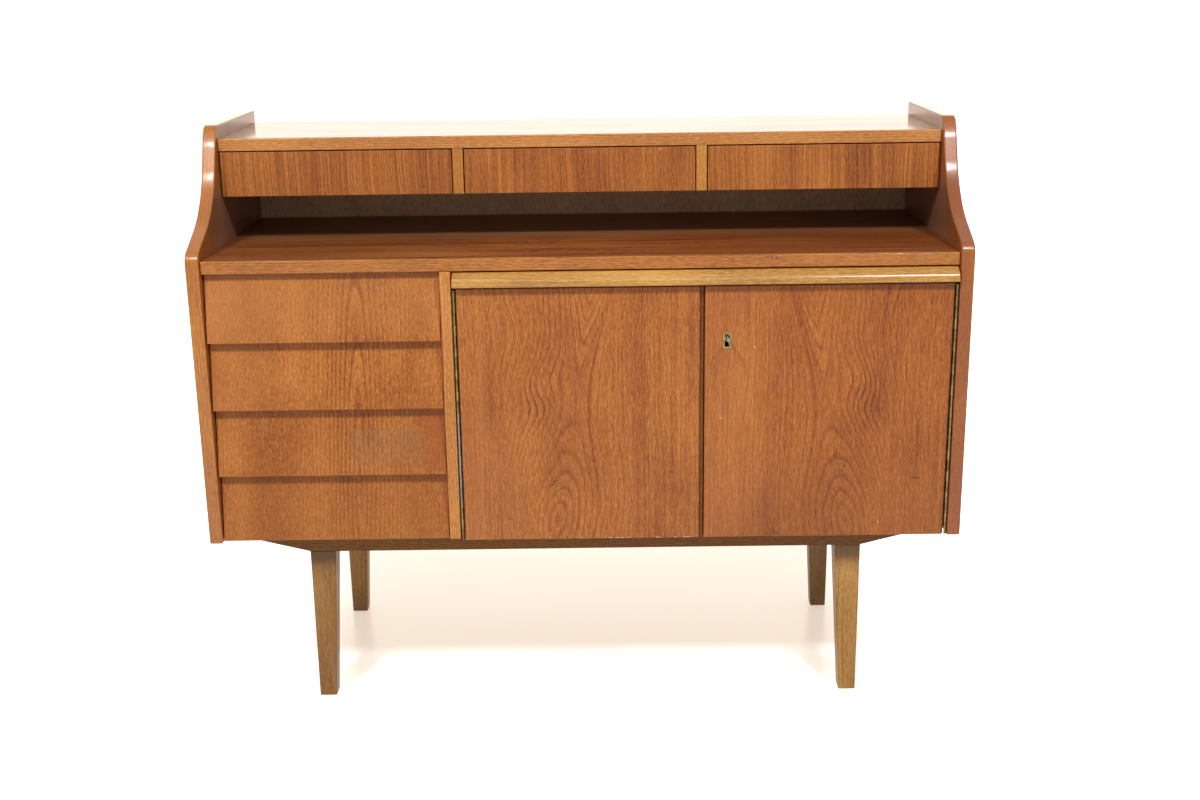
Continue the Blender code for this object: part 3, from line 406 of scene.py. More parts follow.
def wood(name, tone, marks, wear_and_shade=(), figure=None, slot="teak", grain="Z", depth=0.8,
         fibre=0.9, blotch=0.5, flecks=0, gloss=0.4, coat=0, seed=0, pores=0.35,
         coat_rough=0.1, thin_coat=0, shine=0.35):
    """A finished wood with its fibres along the grain axis. fibre, blotch, flecks and
    pores say how strongly each of them shows, and seed shifts them all."""
    paint = Finish(name, slot)
    place = paint.place()
    board = paint.vector("ADD", place, (seed, seed * 0.7, seed * 0.4)) if seed else place

    def grains(across, along, detail=2, rough=0.5):
        return paint.noise(board, grain_scale(grain, across, along), detail, rough)

    wide, thin = grains(620, 76, rough=0.6), grains(1100, 130)
    cloud = grains(14, 5)
    pore = paint.step(grains(2300, 150, 1), 0.6, 0.74)
    tick = paint.step(grains(760, 104, 1), 0.54, 0.66)
    value = (0.5 + (wide - 0.5) * fibre + (thin - 0.5) * (fibre * 0.7)
             + (tick - 0.25) * (fibre * 0.22) + (cloud - 0.5) * blotch)
    if figure:
        draw, *numbers = figure
        value = value + draw(paint, board, place, *numbers)
    dark, light = shades(tone, depth)
    colour = paint.ramp(value, [(stop, under_lacquer(shade, coat)) for stop, shade in
                                ((0.12, dark), (0.5, tone), (0.88, light))])
    colour = paint.stain(colour, pore * pores, [v * 0.6 for v in dark])
    if flecks:
        fleck = paint.step(grains(900, 230, 1), 0.6, 0.7)
        colour = paint.stain(colour, fleck * flecks, dark)
    for spots, mark, strength in marks:
        colour = paint.stain(colour, paint.spots(place, spots) * strength, mark)
    colour = paint.wear_and_shade(colour, place, wear_and_shade)
    paint.feed(Base_Color=colour, Roughness=gloss + (wide - 0.5) * 0.18 + pore * 0.12,
               Specular_IOR_Level=shine, Coat_Weight=coat)
    if coat:
        paint.feed(Coat_Roughness=coat_rough)
    if thin_coat:
        rubbed = paint.step(grains(26, 4, 3), 0.44, 0.66)
        paint.feed(Coat_Weight=coat - rubbed * thin_coat)
    paint.bump(wide * 0.6 + thin * 0.5 - pore * 0.8, 0.00012)
    return paint


LIPPING = dict(slot="teak_lipping", figure=(long_lines, 0.004, 0.45), grain="X",
               gloss=0.36, coat=0.2, seed=4)
SIDE_EDGE = dict(figure=(tall_lines, 0.0045, 0.32, 0), wear_and_shade=HOLLOW_SHADE, gloss=0.32,
                 coat_rough=0.14, blotch=0.6, fibre=0.7)
PALE_EDGE = dict(slot="pale_edge", figure=(tall_lines, 0.005, 0.4), depth=0.6, gloss=0.42)
DOOR = dict(depth=1, blotch=0.52, fibre=0.8)
LEG = dict(slot="stained_beech", figure=(tall_lines, 0.009, 0.3), wear_and_shade=LEG_SHADE_AND_WEAR,
           flecks=0.2, gloss=0.42, pores=0.15, blotch=1.1, fibre=0.7)
INSIDE = dict(slot="inside_wood", depth=0.5, flecks=0.25, gloss=0.5, pores=0.1)

# material, tone, and what sets the wood apart
WOODS = {
    "side": ("teak_sides", (156, 99, 63), dict(
        figure=(tall_lines, 0.007, 0.6), gloss=0.34, coat=0.15)),
    "side_outside": ("teak_side_outsides", (172, 103, 54), dict(
        figure=(tall_lines, 0.007, 0.7), gloss=0.5, shine=0.1)),
    "side_top": ("teak_side_tops", (190, 130, 80), dict(
        grain="Y", gloss=0.24, coat=1, seed=2.5)),
    "edge_left": ("teak_edge_left", (187, 118, 56), dict(SIDE_EDGE, coat=0.48, seed=1.5)),
    "edge_right": ("teak_edge_right", (167, 98, 38), dict(SIDE_EDGE, coat=0.3, seed=1.8)),
    "top": ("teak_main_top", (143, 87, 52), dict(
        figure=(streaks, 1.1), grain="X", depth=1.1, gloss=0.42)),
    "shelf": ("teak_upper_shelf", (186, 126, 78), dict(
        figure=(streaks, 0.9), grain="X", gloss=0.24, coat=1, seed=2, thin_coat=0.16)),
    "top_lipping": ("teak_main_lipping", (178, 113, 60), LIPPING),
    "shelf_lipping": ("teak_shelf_lipping", (199, 134, 76), LIPPING),
    "divider": ("teak_divider_edge", (202, 134, 76), dict(
        slot="teak_lipping", figure=(tall_lines, 0.006, 0.4), seed=5)),
    "small_divider_left": ("pale_edge_left", (181, 121, 63), dict(PALE_EDGE, seed=6)),
    "small_divider_right": ("pale_edge_right", (198, 139, 72), dict(PALE_EDGE, seed=6.4)),
    "door_left": ("teak_door_left", (177, 107, 58), dict(
        DOOR, figure=(cathedral, -0.0417, 0.327, 0.157, 1, 0.5296))),
    "door_right": ("teak_door_right", (171, 101, 54), dict(
        DOOR, figure=(cathedral, 0.4157, 0.318, 0.165, -1, 0.5277))),
    "drawer": ("teak_drawer_fronts", (184, 114, 60), dict(
        figure=(arches, -0.353, 0.4, 0.03), depth=1, blotch=0.8, fibre=0.85)),
    "small_left": ("teak_small_left", (168, 102, 54), dict(
        figure=(stripes, 520, 1.2, 0.2), depth=1.1, blotch=0.35, fibre=0.6)),
    "small_middle": ("teak_small_middle", (170, 103, 55), dict(
        figure=(stripes, 420, 0.8, 0.3), depth=1, blotch=0.7, seed=7, fibre=0.7)),
    "small_right": ("teak_small_right", (171, 104, 55), dict(
        figure=(stripes, 520, 0.9, 0.1), depth=1.1, blotch=0.6, seed=9, fibre=0.6)),
    "nosing": ("beech_nosing", (195, 144, 80), dict(
        slot="honey_beech", figure=(long_lines, 0.006, 0.3), grain="X",
        depth=0.7, flecks=0.35, gloss=0.34, coat=0.5, pores=0.1, blotch=0.9,
        coat_rough=0.16)),
    "leg_front_left": ("beech_leg_front_left", (160, 115, 68), dict(LEG, seed=3)),
    "leg_front_right": ("beech_leg_front_right", (185, 137, 79), dict(LEG, seed=3.7)),
    "leg_back_left": ("beech_leg_back_left", (193, 142, 86), dict(LEG, seed=4.4)),
    "leg_back_right": ("beech_leg_back_right", (175, 136, 90), dict(LEG, seed=5.1)),
    "rail": ("beech_rails", (135, 90, 46), dict(
        slot="dark_rail", figure=(long_lines, 0.004, 0.7), grain="X", depth=1,
        flecks=0.4, gloss=0.55, seed=1)),
    "bead": ("dark_bead", (134, 84, 37), dict(slot="dark_rail", gloss=0.45)),
    "inside": ("beech_inside", (222, 184, 138), dict(INSIDE, grain="Y", seed=8)),
    "inside_x": ("beech_inside_cross", (222, 184, 138), dict(INSIDE, grain="X", seed=8.5)),
    "plain_teak": ("teak_inside", (168, 104, 60), dict(
        figure=(long_lines, 0.01, 0.5, "Y"), grain="X", depth=0.9, seed=11)),
    "back": ("ply_back", (222, 184, 146), dict(
        slot="back_board", depth=0.6, gloss=0.6, flecks=0.1, seed=12)),
}
finishes = {}


def make_woods():
    marks = list_marks()
    for key, (name, tone, settings) in WOODS.items():
        settings = {"wear_and_shade": WEAR_AND_SHADE.get(key, ()), **settings}
        finishes[key] = wood(name, tone, marks.get(key, ()), **settings)


# ---- metals

def metal(name, slot, tone, dull, rough, scale=260, wear_and_shade=()):
    """A metal with dull clouds and fine scratches."""
    paint = Finish(name, slot)
    place = paint.place()
    cloud = paint.noise(place, (scale,) * 3, 3, 0.6)
    scratch = paint.noise(place, (scale * 6, scale * 0.8, scale * 6))
    worn = paint.step(cloud, 0.42, 0.64)
    colour = paint.mix(worn * 0.5, linear(tone), linear(dull))
    paint.feed(Base_Color=paint.wear_and_shade(colour, place, wear_and_shade), Metallic=1,
               Roughness=rough + worn * 0.16 + (scratch - 0.5) * 0.12)
    paint.bump(scratch * 0.5 + cloud * 0.5, 0.00004)
    return paint


def make_metals():
    """Hinges nearly black behind their pin, painted shade of the gap there, the left one
    pale bluish over a part of its height, and plain metals."""
    pin_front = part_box("hinge_left_pin")[0].y
    # painted shade: nearly black behind the pin, in the gap
    shade_behind_pin = (0.94, (44, 26, 14), ("y", pin_front, pin_front + 0.0014))
    bluish = (0.8, (128, 124, 118), ("z", 0.35, 0.37), ("z", 0.51, 0.49))
    for side, wear_and_shade in (("left", (bluish, shade_behind_pin)), ("right", (shade_behind_pin,))):
        for part, shade, tone, dull, rough in (
                ("case", "olive", (124, 104, 64), (70, 60, 40), 0.4),
                ("door", "bright", (150, 124, 78), (96, 82, 56), 0.38)):
            finishes[f"hinge_{side}_{part}"] = metal(
                f"hinge_{side}_{shade}", "hinge_metal", tone, dull, rough, 60, wear_and_shade)
    for key, name, slot, tone, dull, rough in (
            ("pin", "hinge_pin_steel", "hinge_metal", (110, 106, 100), (70, 66, 60), 0.36),
            ("brass", "brass_worn", "brass", (176, 152, 92), (128, 104, 60), 0.34),
            ("steel", "steel_worn", "steel", (150, 148, 146), (96, 92, 88), 0.38)):
        finishes[key] = metal(name, slot, tone, dull, rough)


# ---- mesh helpers

def point(axis, a, b, level):
    """A point of the model from its place on an outline across one axis."""
    return Vector({"X": (level, a, b), "Y": (a, level, b), "Z": (a, b, level)}[axis])


def blocks(*boxes):
    """Boxes between pairs of corners, in one bmesh."""
    bm = bmesh.new()
    for low, high in boxes:
        low, high = Vector(low), Vector(high)
        matrix = (Matrix.Translation((low + high) / 2)
                  @ Matrix.Diagonal((*(high - low), 1)))
        bmesh.ops.create_cube(bm, size=1, matrix=matrix)
    return bm


def rod(start, end, radius, sides=32):
    """A capped rod between two points."""
    start, end = Vector(start), Vector(end)
    along = end - start
    turn = along.to_track_quat("Z", "Y").to_matrix().to_4x4()
    bm = bmesh.new()
    bmesh.ops.create_cone(bm, cap_ends=True, segments=sides, radius1=radius,
                          radius2=radius, depth=along.length,
                          matrix=Matrix.Translation((start + end) / 2) @ turn)
    return bm


def only_verts(geom):
    return [item for item in geom if isinstance(item, bmesh.types.BMVert)]


def pull(bm, faces, shift):
    """Extrude faces by a vector and give back the vertices that moved."""
    verts = only_verts(bmesh.ops.extrude_face_region(bm, geom=faces)["geom"])
    bmesh.ops.translate(bm, verts=verts, vec=shift)
    return verts


def extrude_outline(corners, axis, low, high):
    """A solid between two levels of an axis from an outline of (a, b, radius) corners.
    Each round corner is a point spun round the arc's centre."""
    bm = bmesh.new()
    ends = []
    for index, (a, b, radius) in enumerate(corners):
        here = Vector((a, b))
        if radius <= 0:
            vert = bm.verts.new(point(axis, a, b, low))
            ends.append((vert, vert))
            continue
        back = Vector(corners[index - 1][:2]) - here
        ahead = Vector(corners[(index + 1) % len(corners)][:2]) - here
        half = back.angle(ahead) / 2
        tangent = min(radius / math.tan(half), 0.48 * min(back.length, ahead.length))
        radius = tangent * math.tan(half)
        middle = (back.normalized() + ahead.normalized()).normalized()
        centre = here + middle * (radius / math.sin(half))
        first = here + back.normalized() * tangent
        last = here + ahead.normalized() * tangent
        turn = -(first - centre).angle_signed(last - centre)
        steps = max(2, math.ceil(abs(turn) / ARC_STEP))
        start = bm.verts.new(point(axis, *first, low))
        spun = bmesh.ops.spin(bm, geom=[start], cent=point(axis, *centre, low),
                              axis=SPIN_AXES[axis], angle=turn, steps=steps)
        ends.append((start, only_verts(spun["geom_last"])[0]))
    for (_, here), (ahead, _) in zip(ends, ends[1:] + ends[:1]):
        bm.edges.new((here, ahead))
    bmesh.ops.edgeloop_fill(bm, edges=bm.edges[:])
    pull(bm, bm.faces[:], point(axis, 0, 0, high - low))
    bmesh.ops.recalc_face_normals(bm, faces=bm.faces[:])
    return bm


def round_edges(bm, width, segments=3, where=None):
    """Round a shape's sharp edges, or those that a test picks."""
    edges = [edge for edge in bm.edges
             if (where(edge) if where else edge.calc_face_angle(0) > SHARP)]
    bmesh.ops.bevel(bm, geom=edges, offset=width, offset_type="OFFSET", segments=segments,
                    profile=0.5, affect="EDGES", material=-1, clamp_overlap=True)
    return bm


def across(axis):
    """A test for the rim edges of a solid that was extruded along an axis."""
    number = "XYZ".index(axis)

    def rim(edge):
        first, second = (vert.co for vert in edge.verts)
        return (abs(first[number] - second[number]) < WELD
                and edge.calc_face_angle(0) > SHARP)
    return rim


def add_object(name, data):
    """Put a mesh, lamp or camera into the scene."""
    item = bpy.data.objects.new(name, data)
    scene.collection.objects.link(item)
    return item


def mesh_of(name, bm):
    """Turn a bmesh into a mesh and free it."""
    mesh = bpy.data.meshes.new(name)
    bm.to_mesh(mesh)
    bm.free()
    return mesh


def combine(bm, tool, operation="DIFFERENCE"):
    """Cut a shape out of another one, or unite the two, and give back the result."""
    pair = []
    for name, source in (("blank", bm), ("tool", tool)):
        bmesh.ops.recalc_face_normals(source, faces=source.faces[:])
        pair.append(add_object(name, mesh_of(name, source)))
    boolean = pair[0].modifiers.new("combine", "BOOLEAN")
    boolean.operation = operation
    boolean.object = pair[1]
    solved = pair[0].evaluated_get(bpy.context.evaluated_depsgraph_get())
    result = bmesh.new()
    result.from_mesh(solved.to_mesh())
    for item in pair:
        mesh = item.data
        bpy.data.objects.remove(item)
        bpy.data.meshes.remove(mesh)
    return result


def cut(bm, *boxes):
    """Cut boxes between pairs of corners out of a shape."""
    return combine(bm, blocks(*boxes))


def make_room(bm, *nodes):
    """Cut out the room of CAD nodes that run into a shape, with a little air."""
    air = Vector((FIT, FIT, FIT))
    return cut(bm, *((low - air, high + air) for low, high in map(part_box, nodes)))


def piece(name, bm, finish, *nodes, body="carcass"):
    """Make a finished piece that rides on a body and stands for CAD nodes."""
    finish = finishes[finish]
    bmesh.ops.remove_doubles(bm, verts=bm.verts[:], dist=WELD)
    bmesh.ops.recalc_face_normals(bm, faces=bm.faces[:])
    mesh = mesh_of(name, bm)
    mesh.shade_smooth()
    mesh.set_sharp_from_angle(angle=SHARP)
    mesh.materials.append(finish.material)
    item = add_object(name, mesh)
    item.modifiers.new("even_shading", "WEIGHTED_NORMAL").keep_sharp = True
    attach(item, body)
    if nodes:
        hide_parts(*nodes)
    return item


def rounded_board(name, node, finish, width=0.001, body="carcass"):
    """A board in the place of a CAD node, with rounded edges."""
    return piece(name, round_edges(blocks(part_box(node)), width), finish, node, body=body)


def dress(node, finish):
    """Give a CAD node that stays its finish."""
    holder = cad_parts[node].material_slots[0]
    holder.link = "OBJECT"
    holder.material = finishes[finish].material


def screw_head(bm, centre, outward, radius=0.0026):
    """Add a low countersunk screw head with its slot."""
    thick, slot_half = 0.0005, 0.0003
    centre, outward = Vector(centre), Vector(outward)
    head = bmesh.new()
    bmesh.ops.create_cone(head, cap_ends=True, segments=20, radius1=radius,
                          radius2=radius * 0.86, depth=thick,
                          matrix=Matrix.Translation((0, 0, thick / 2)))
    reach = radius * 1.2
    head = cut(head, ((-reach, -slot_half, 0.0002), (reach, slot_half, 0.001)))
    turn = (outward.to_track_quat("Z", "Y").to_matrix().to_4x4()
            @ Matrix.Rotation(centre.z * 90, 4, "Z"))
    bmesh.ops.transform(head, matrix=Matrix.Translation(centre) @ turn, verts=head.verts)
    mesh = mesh_of("head", head)
    bm.from_mesh(mesh)
    bpy.data.meshes.remove(mesh)


# ---- case

def make_sides():
    """The side panels with their S-shaped front edge. The front edge, the top and the
    outward face have finishes of their own."""
    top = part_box("main_top")[1].z
    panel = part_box("back_panel")
    rebate_deep, rebate_wide = 0.0063, 0.02
    for name, sign, boards in (("left", -1, DUST_PANELS), ("right", 1, ["cupboard_shelf"])):
        low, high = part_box(f"side_{name}")
        front, back = low.y, high.y
        corners = [
            (back, low.z, 0), (back, high.z, 0), (front + 0.1771, high.z, 0.018),
            (front + 0.1616, high.z - 0.023, 0.11), (front + 0.133, top + 0.0958, 0.145),
            (front + 0.0888, top + 0.0508, 0.145), (front, top + 0.0105, 0.024),
            (front, low.z, 0.004),
        ]
        bm = extrude_outline(corners, "X", low.x, high.x)
        round_edges(bm, 0.0026, 5, across("X"))
        inner = high.x if sign < 0 else low.x
        ends = sorted((inner + sign * rebate_deep, inner - sign * rebate_wide))
        bm = cut(bm, ((ends[0], panel[0].y - FIT, low.z - rebate_wide),
                      (ends[1], back + rebate_wide, panel[1].z + FIT)))
        bm = make_room(bm, *boards)
        item = piece(f"side_panel_{name}", bm, "side", f"side_{name}")
        for finish in (f"edge_{name}", "side_top", "side_outside"):
            item.data.materials.append(finishes[finish].material)
        for face in item.data.polygons:
            if face.normal.z > 0.95 and face.center.z > high.z - 0.01:
                face.material_index = 2
            elif abs(face.normal.x) < 0.9 and face.normal.y < 0.7:
                face.material_index = 1
            elif face.normal.x * sign > 0.9:
                face.material_index = 3


def make_case():
    """The boards between the sides, the dividers, and the back sheet with its nails."""
    for node, finish in (("main_top", "top"), ("upper_shelf", "shelf")):
        rounded_board(f"{node}_board", node, finish, 0.0003)
        rounded_board(f"{node}_edge", f"{node}_lipping", f"{finish}_lipping", 0.0011)
    rounded_board("bottom_board", "bottom_panel", "plain_teak", 0.0008)

    bm = round_edges(blocks(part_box("centre_divider")), 0.001)
    bm = make_room(bm, "bottom_panel", *DUST_PANELS, "cupboard_shelf")
    piece("divider_board", bm, "divider", "centre_divider")
    for name in ("small_divider_left", "small_divider_right"):
        bm = make_room(round_edges(blocks(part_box(name)), 0.0008), "bank_floor")
        piece(f"{name}_board", bm, name, name)

    rounded_board("back_sheet", "back_panel", "back", 0.0003)
    low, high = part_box("back_panel")
    left, right, divider_x, from_end = low.x + 0.003, high.x - 0.003, -0.2062, 0.009
    places = [(left + (right - left) * step / 12, height)
              for height in (low.z + from_end, high.z - from_end) for step in range(13)]
    places += [(x, low.z + (high.z - low.z) * step / 7)
               for x in (left, right, divider_x) for step in range(1, 7)]
    nails = bmesh.new()
    for x, z in places:
        matrix = Matrix.Translation((x, high.y, z)) @ Matrix.Diagonal((1, 0.12, 1, 1))
        bmesh.ops.create_uvsphere(nails, u_segments=12, v_segments=8, radius=0.0019,
                                  matrix=matrix)
    piece("back_nails", nails, "steel")

    for node in (*DUST_PANELS, "bank_floor", "leaf_bearer"):
        dress(node, "inside_x")
    dress("cupboard_shelf", "plain_teak")


# ---- drawers

def make_large_drawers():
    """Sloping fronts that overlap like louvres, and boxes whose sides follow the slope."""
    slope, front_thick, wall = 0.015, 0.018, 0.01
    for body in ("drawer_1", "drawer_2", "drawer_3", "drawer_4"):
        low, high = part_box(f"{body}_front")
        tall = high.z - low.z
        bm = blocks((low, (high.x, low.y + front_thick, high.z)))
        upper = [vert for vert in bm.verts if vert.co.z > low.z + tall / 2]
        bmesh.ops.translate(bm, verts=upper, vec=(0, slope, 0))
        round_edges(bm, 0.0011)
        piece(f"{body}_face", bm, "drawer", f"{body}_front", body=body)

        box_low, box_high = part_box(f"{body}_box")
        walls = blocks(
            (box_low, (box_low.x + wall, box_high.y, box_high.z)),
            ((box_high.x - wall, box_low.y, box_low.z), box_high),
            ((box_low.x + wall + FIT, box_high.y - wall, box_low.z),
             (box_high.x - wall - FIT, box_high.y - FIT, box_high.z - 0.004)))
        for vert in walls.verts:
            if vert.co.y < 0:
                vert.co.y = low.y + front_thick + FIT + slope * (vert.co.z - low.z) / tall
        round_edges(walls, 0.0012)
        piece(f"{body}_walls", walls, "inside", f"{body}_box", body=body)
        dress(f"{body}_bottom", "inside_x")


def make_small_drawers():
    """Upright fronts with open trays behind them."""
    wall, base = 0.008, 0.004
    for name in ("small_left", "small_middle", "small_right"):
        body = name.replace("small", "small_drawer")
        rounded_board(f"{body}_face", f"{body}_front", name, 0.0011, body)
        low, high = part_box(f"{body}_tray")
        left, right = low.x + wall + FIT, high.x - wall - FIT
        tray = blocks(
            (low, (low.x + wall, high.y, high.z)),
            ((high.x - wall, low.y, low.z), high),
            ((left, high.y - wall, low.z), (right, high.y - FIT, high.z - 0.002)),
            ((left, low.y + FIT, low.z), (right, high.y - wall - FIT, low.z + base)))
        round_edges(tray, 0.0008, 2)
        piece(f"{body}_box", tray, "inside", f"{body}_tray", body=body)


# ---- leaf and doors

def make_leaf():
    """The pull-out leaf and its half-round nosing."""
    rounded_board("leaf_sheet", "leaf_board", "plain_teak", 0.0008, "leaf")
    low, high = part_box("leaf_nosing")
    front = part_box("side_left")[0].y
    corners = [
        (high.y, low.z, 0), (high.y, high.z, 0), (front + 0.006, high.z, 0.003),
        (front - 0.008, low.z + 0.0118, 0.014), (low.y, low.z, 0.002),
    ]
    bm = extrude_outline(corners, "X", low.x, high.x)
    round_edges(bm, 0.0006, 2, across("X"))
    piece("leaf_nosing_strip", bm, "nosing", "leaf_nosing", body="leaf")


def keyhole_corners(key, grow):
    """Outline of a keyhole in X and Z: its round part in short steps, then its skirt."""
    radius, drop, skirt = 0.0071 + grow, 0.0178, 0.0064 + grow
    turns = [math.pi * (step / 16 - 0.25) for step in range(25)]
    corners = [(key[0] + radius * math.cos(turn), key[1] + radius * math.sin(turn), 0)
               for turn in turns]
    foot = key[1] - drop - grow
    return corners + [(key[0] - skirt, foot, 0.0008), (key[0] + skirt, foot, 0.0008)]


def make_doors(key):
    """The two doors, and the bead that covers the gap where they meet."""
    rounded_board("door_left_panel", "door_left", "door_left", body="left_door")
    low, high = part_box("door_right")
    hole = extrude_outline(keyhole_corners(key, FIT), "Y", low.y - PAST, high.y + PAST)
    bm = combine(round_edges(blocks((low, high)), 0.001), hole)
    piece("door_right_panel", bm, "door_right", "door_right", body="right_door")

    low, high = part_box("meeting_bead")
    door_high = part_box("door_left")[1]
    face_x, flange_y = door_high.x + FIT, door_high.y + FIT
    bead_side = high.x + 0.0012
    corners = [
        (face_x, low.y, 0.0012), (bead_side, low.y, 0.0012), (bead_side, high.y, 0.0006),
        (low.x, high.y, 0.0006), (low.x, flange_y, 0), (face_x, flange_y, 0),
    ]
    air = 0.002
    floor_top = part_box("bottom_panel")[1].z + air
    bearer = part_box("leaf_bearer")[0].z - air
    left, right, back = low.x - air, high.x + 2 * air, high.y + air
    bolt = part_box("lock_bolt")
    bm = cut(extrude_outline(corners, "Z", low.z, high.z),
             ((left, flange_y, low.z - air), (right, back, floor_top)),
             ((left, flange_y, bearer), (right, back, high.z + air)),
             ((bolt[0].x - 0.0086, bolt[0].y - 2 * FIT, bolt[0].z - 2 * FIT),
              (right, bolt[1].y + 2 * FIT, bolt[1].z + 2 * FIT)))
    piece("bead_strip", bm, "bead", "meeting_bead", body="left_door")


def hinge_leaf(hinge, axis, side, own_first, body):
    """One leaf of a piano hinge with its screws: a plate with knuckles curled round the
    pin."""
    low, high = (corner.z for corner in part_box(f"{hinge}_leaf"))
    curl_in, curl_out, face, metal_thick, plate_end = 0.001, 0.0016, 0.0034, 0.0008, 0.0165
    bm = bmesh.new()
    ends = [bm.verts.new((0, curl_in, 0)), bm.verts.new((0, curl_out, 0))]
    root = bm.edges.new(ends)
    bmesh.ops.spin(bm, geom=[*ends, root], cent=(0, 0, 0), axis=(0, 0, 1),
                   angle=math.radians(290), steps=28)

    def extend(edge, shift):
        made = bmesh.ops.extrude_edge_only(bm, edges=[edge])["geom"]
        verts = only_verts(made)
        bmesh.ops.translate(bm, verts=verts, vec=shift)
        return [item for item in made if isinstance(item, bmesh.types.BMEdge)
                and all(vert in verts for vert in item.verts)][0]

    web = extend(root, (face - metal_thick, 0, 0))
    corner = extend(web, (metal_thick, 0, 0))
    tops = [vert for edge in (web, corner) for vert in edge.verts
            if vert.co.y > (curl_in + curl_out) / 2]
    extend(bm.edges.get(tops), (0, plate_end - curl_out, 0))
    pull(bm, bm.faces[:], (0, 0, high - low))
    bmesh.ops.scale(bm, vec=(side, 1, 1), verts=bm.verts)
    bmesh.ops.translate(bm, vec=(axis[0], axis[1], low), verts=bm.verts)

    knuckles, notch_half, slack = 23, 0.0074, FIT + 0.0002
    pitch = (high - low) / knuckles
    notches = []
    for index in range(1 if own_first else 0, knuckles, 2):
        foot = low + index * pitch - slack / 2
        notches.append(((axis[0] - notch_half, axis[1] - notch_half, foot),
                        (axis[0] + notch_half, axis[1] + curl_out + metal_thick,
                         foot + pitch + slack)))
    piece(f"{hinge}_strip", cut(bm, *notches), hinge, f"{hinge}_leaf", body=body)

    screws = bmesh.new()
    plate_x = axis[0] + side * (face - metal_thick)
    for step in range(8):
        height = low + 0.02 + (high - low - 0.04) * step / 7
        screw_head(screws, (plate_x, axis[1] + 0.0095, height), (-side, 0, 0))
    piece(f"{hinge}_screws", screws, "steel", body=body)


def make_hinges():
    """A piano hinge for each door, with a leaf on the case and one on the door."""
    for name, case_side in (("left", -1), ("right", 1)):
        low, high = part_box(f"hinge_{name}_pin")
        axis = ((low.x + high.x) / 2, (low.y + high.y) / 2)
        for part, side, body in (("case", case_side, "carcass"),
                                 ("door", -case_side, f"{name}_door")):
            hinge_leaf(f"hinge_{name}_{part}", axis, side, part == "case", body)
        pin = round_edges(rod((*axis, low.z), (*axis, high.z), 0.0008, 20), 0.0002, 2)
        piece(f"hinge_{name}_wire", pin, "pin", f"hinge_{name}_pin")


# ---- lock, key and bolt

def key_plane(key):
    """Turns a shape drawn upright round the Y axis into the key's tilted plane."""
    return (Matrix.Translation((key[0], 0, key[1]))
            @ Matrix.Rotation(-math.radians(18), 4, "Y"))


def make_lock(key):
    """The hollow lock case with its key way, the bolt, the screws and the keyhole rim."""
    low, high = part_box("lock_case")
    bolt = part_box("lock_bolt")
    wall = Vector((0.0012,) * 3)
    bm = cut(round_edges(blocks((low, high)), 0.0008, 2), (low + wall, high - wall),
             (bolt[0] - Vector((0.008, FIT, FIT)), bolt[1] + Vector((0, FIT, FIT))))
    way_front, way_back = low.y - PAST, low.y + 0.006
    bm = combine(bm, rod((key[0], way_front, key[1]), (key[0], way_back, key[1]), 0.0027))
    slot = blocks(((-0.0017, way_front, -0.0074), (0.0017, way_back, 0)))
    bmesh.ops.transform(slot, matrix=key_plane(key), verts=slot.verts)
    piece("lock_box", combine(bm, slot), "steel", "lock_case", body="right_door")
    rounded_board("lock_tongue", "lock_bolt", "brass", 0.0008, "lock_bolt")

    screws = bmesh.new()
    for x in (low.x + 0.005, high.x - 0.005):
        for z in (low.z + 0.005, high.z - 0.005):
            screw_head(screws, (x, high.y, z), (0, 1, 0), 0.0018)
    piece("lock_screws", screws, "brass", body="right_door")

    low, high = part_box("escutcheon")
    bm = extrude_outline(keyhole_corners(key, 0), "Y", low.y, high.y)
    round_edges(bm, 0.0009, 3, lambda edge: all(abs(vert.co.y - low.y) < WELD
                                                for vert in edge.verts))
    opening = extrude_outline(keyhole_corners(key, -0.0022), "Y", low.y - PAST,
                              high.y + PAST)
    piece("keyhole_rim", combine(bm, opening), "brass", "escutcheon", body="right_door")


def make_key(key):
    """The key: a ring squeezed to an oval bow, the shank with a collar, and the bit."""
    low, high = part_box("key")
    rim, bow_half, bow_squeeze, bow_centre = 0.01, 0.0011, 0.88, low.y + 0.011
    bow = bmesh.new()
    bmesh.ops.create_circle(bow, cap_ends=False, segments=16, radius=0.002,
                            matrix=Matrix.Translation((0, rim, 0))
                            @ Matrix.Rotation(math.pi / 2, 4, "Y"))
    bmesh.ops.spin(bow, geom=bow.verts[:] + bow.edges[:], cent=(0, 0, 0), axis=(1, 0, 0),
                   angle=2 * math.pi, steps=40, use_merge=True)
    bmesh.ops.remove_doubles(bow, verts=bow.verts[:], dist=WELD)
    widest = max(abs(vert.co.x) for vert in bow.verts)
    bmesh.ops.scale(bow, vec=(bow_half / widest, bow_squeeze, 1), verts=bow.verts)
    bmesh.ops.translate(bow, vec=(0, bow_centre, 0), verts=bow.verts)
    shank = rod((0, low.y + 0.0205, 0), (0, high.y, 0), 0.0021)
    collar = rod((0, low.y + 0.0235, 0), (0, low.y + 0.026, 0), 0.0031)
    bit = blocks(((-0.0011, high.y - 0.0083, -0.0068), (0.0011, high.y - 0.0003, 0)))
    round_edges(shank, 0.0005, 2)
    round_edges(collar, 0.0008)
    round_edges(bit, 0.0002, 1)
    bit = cut(bit, ((-0.003, high.y - 0.0053, -0.008), (0.003, high.y - 0.0033, -0.0042)))
    for part in (shank, collar, bit):
        bow = combine(bow, part, "UNION")
    bmesh.ops.transform(bow, matrix=key_plane(key), verts=bow.verts)
    piece("key_steel", bow, "steel", "key", body="key")


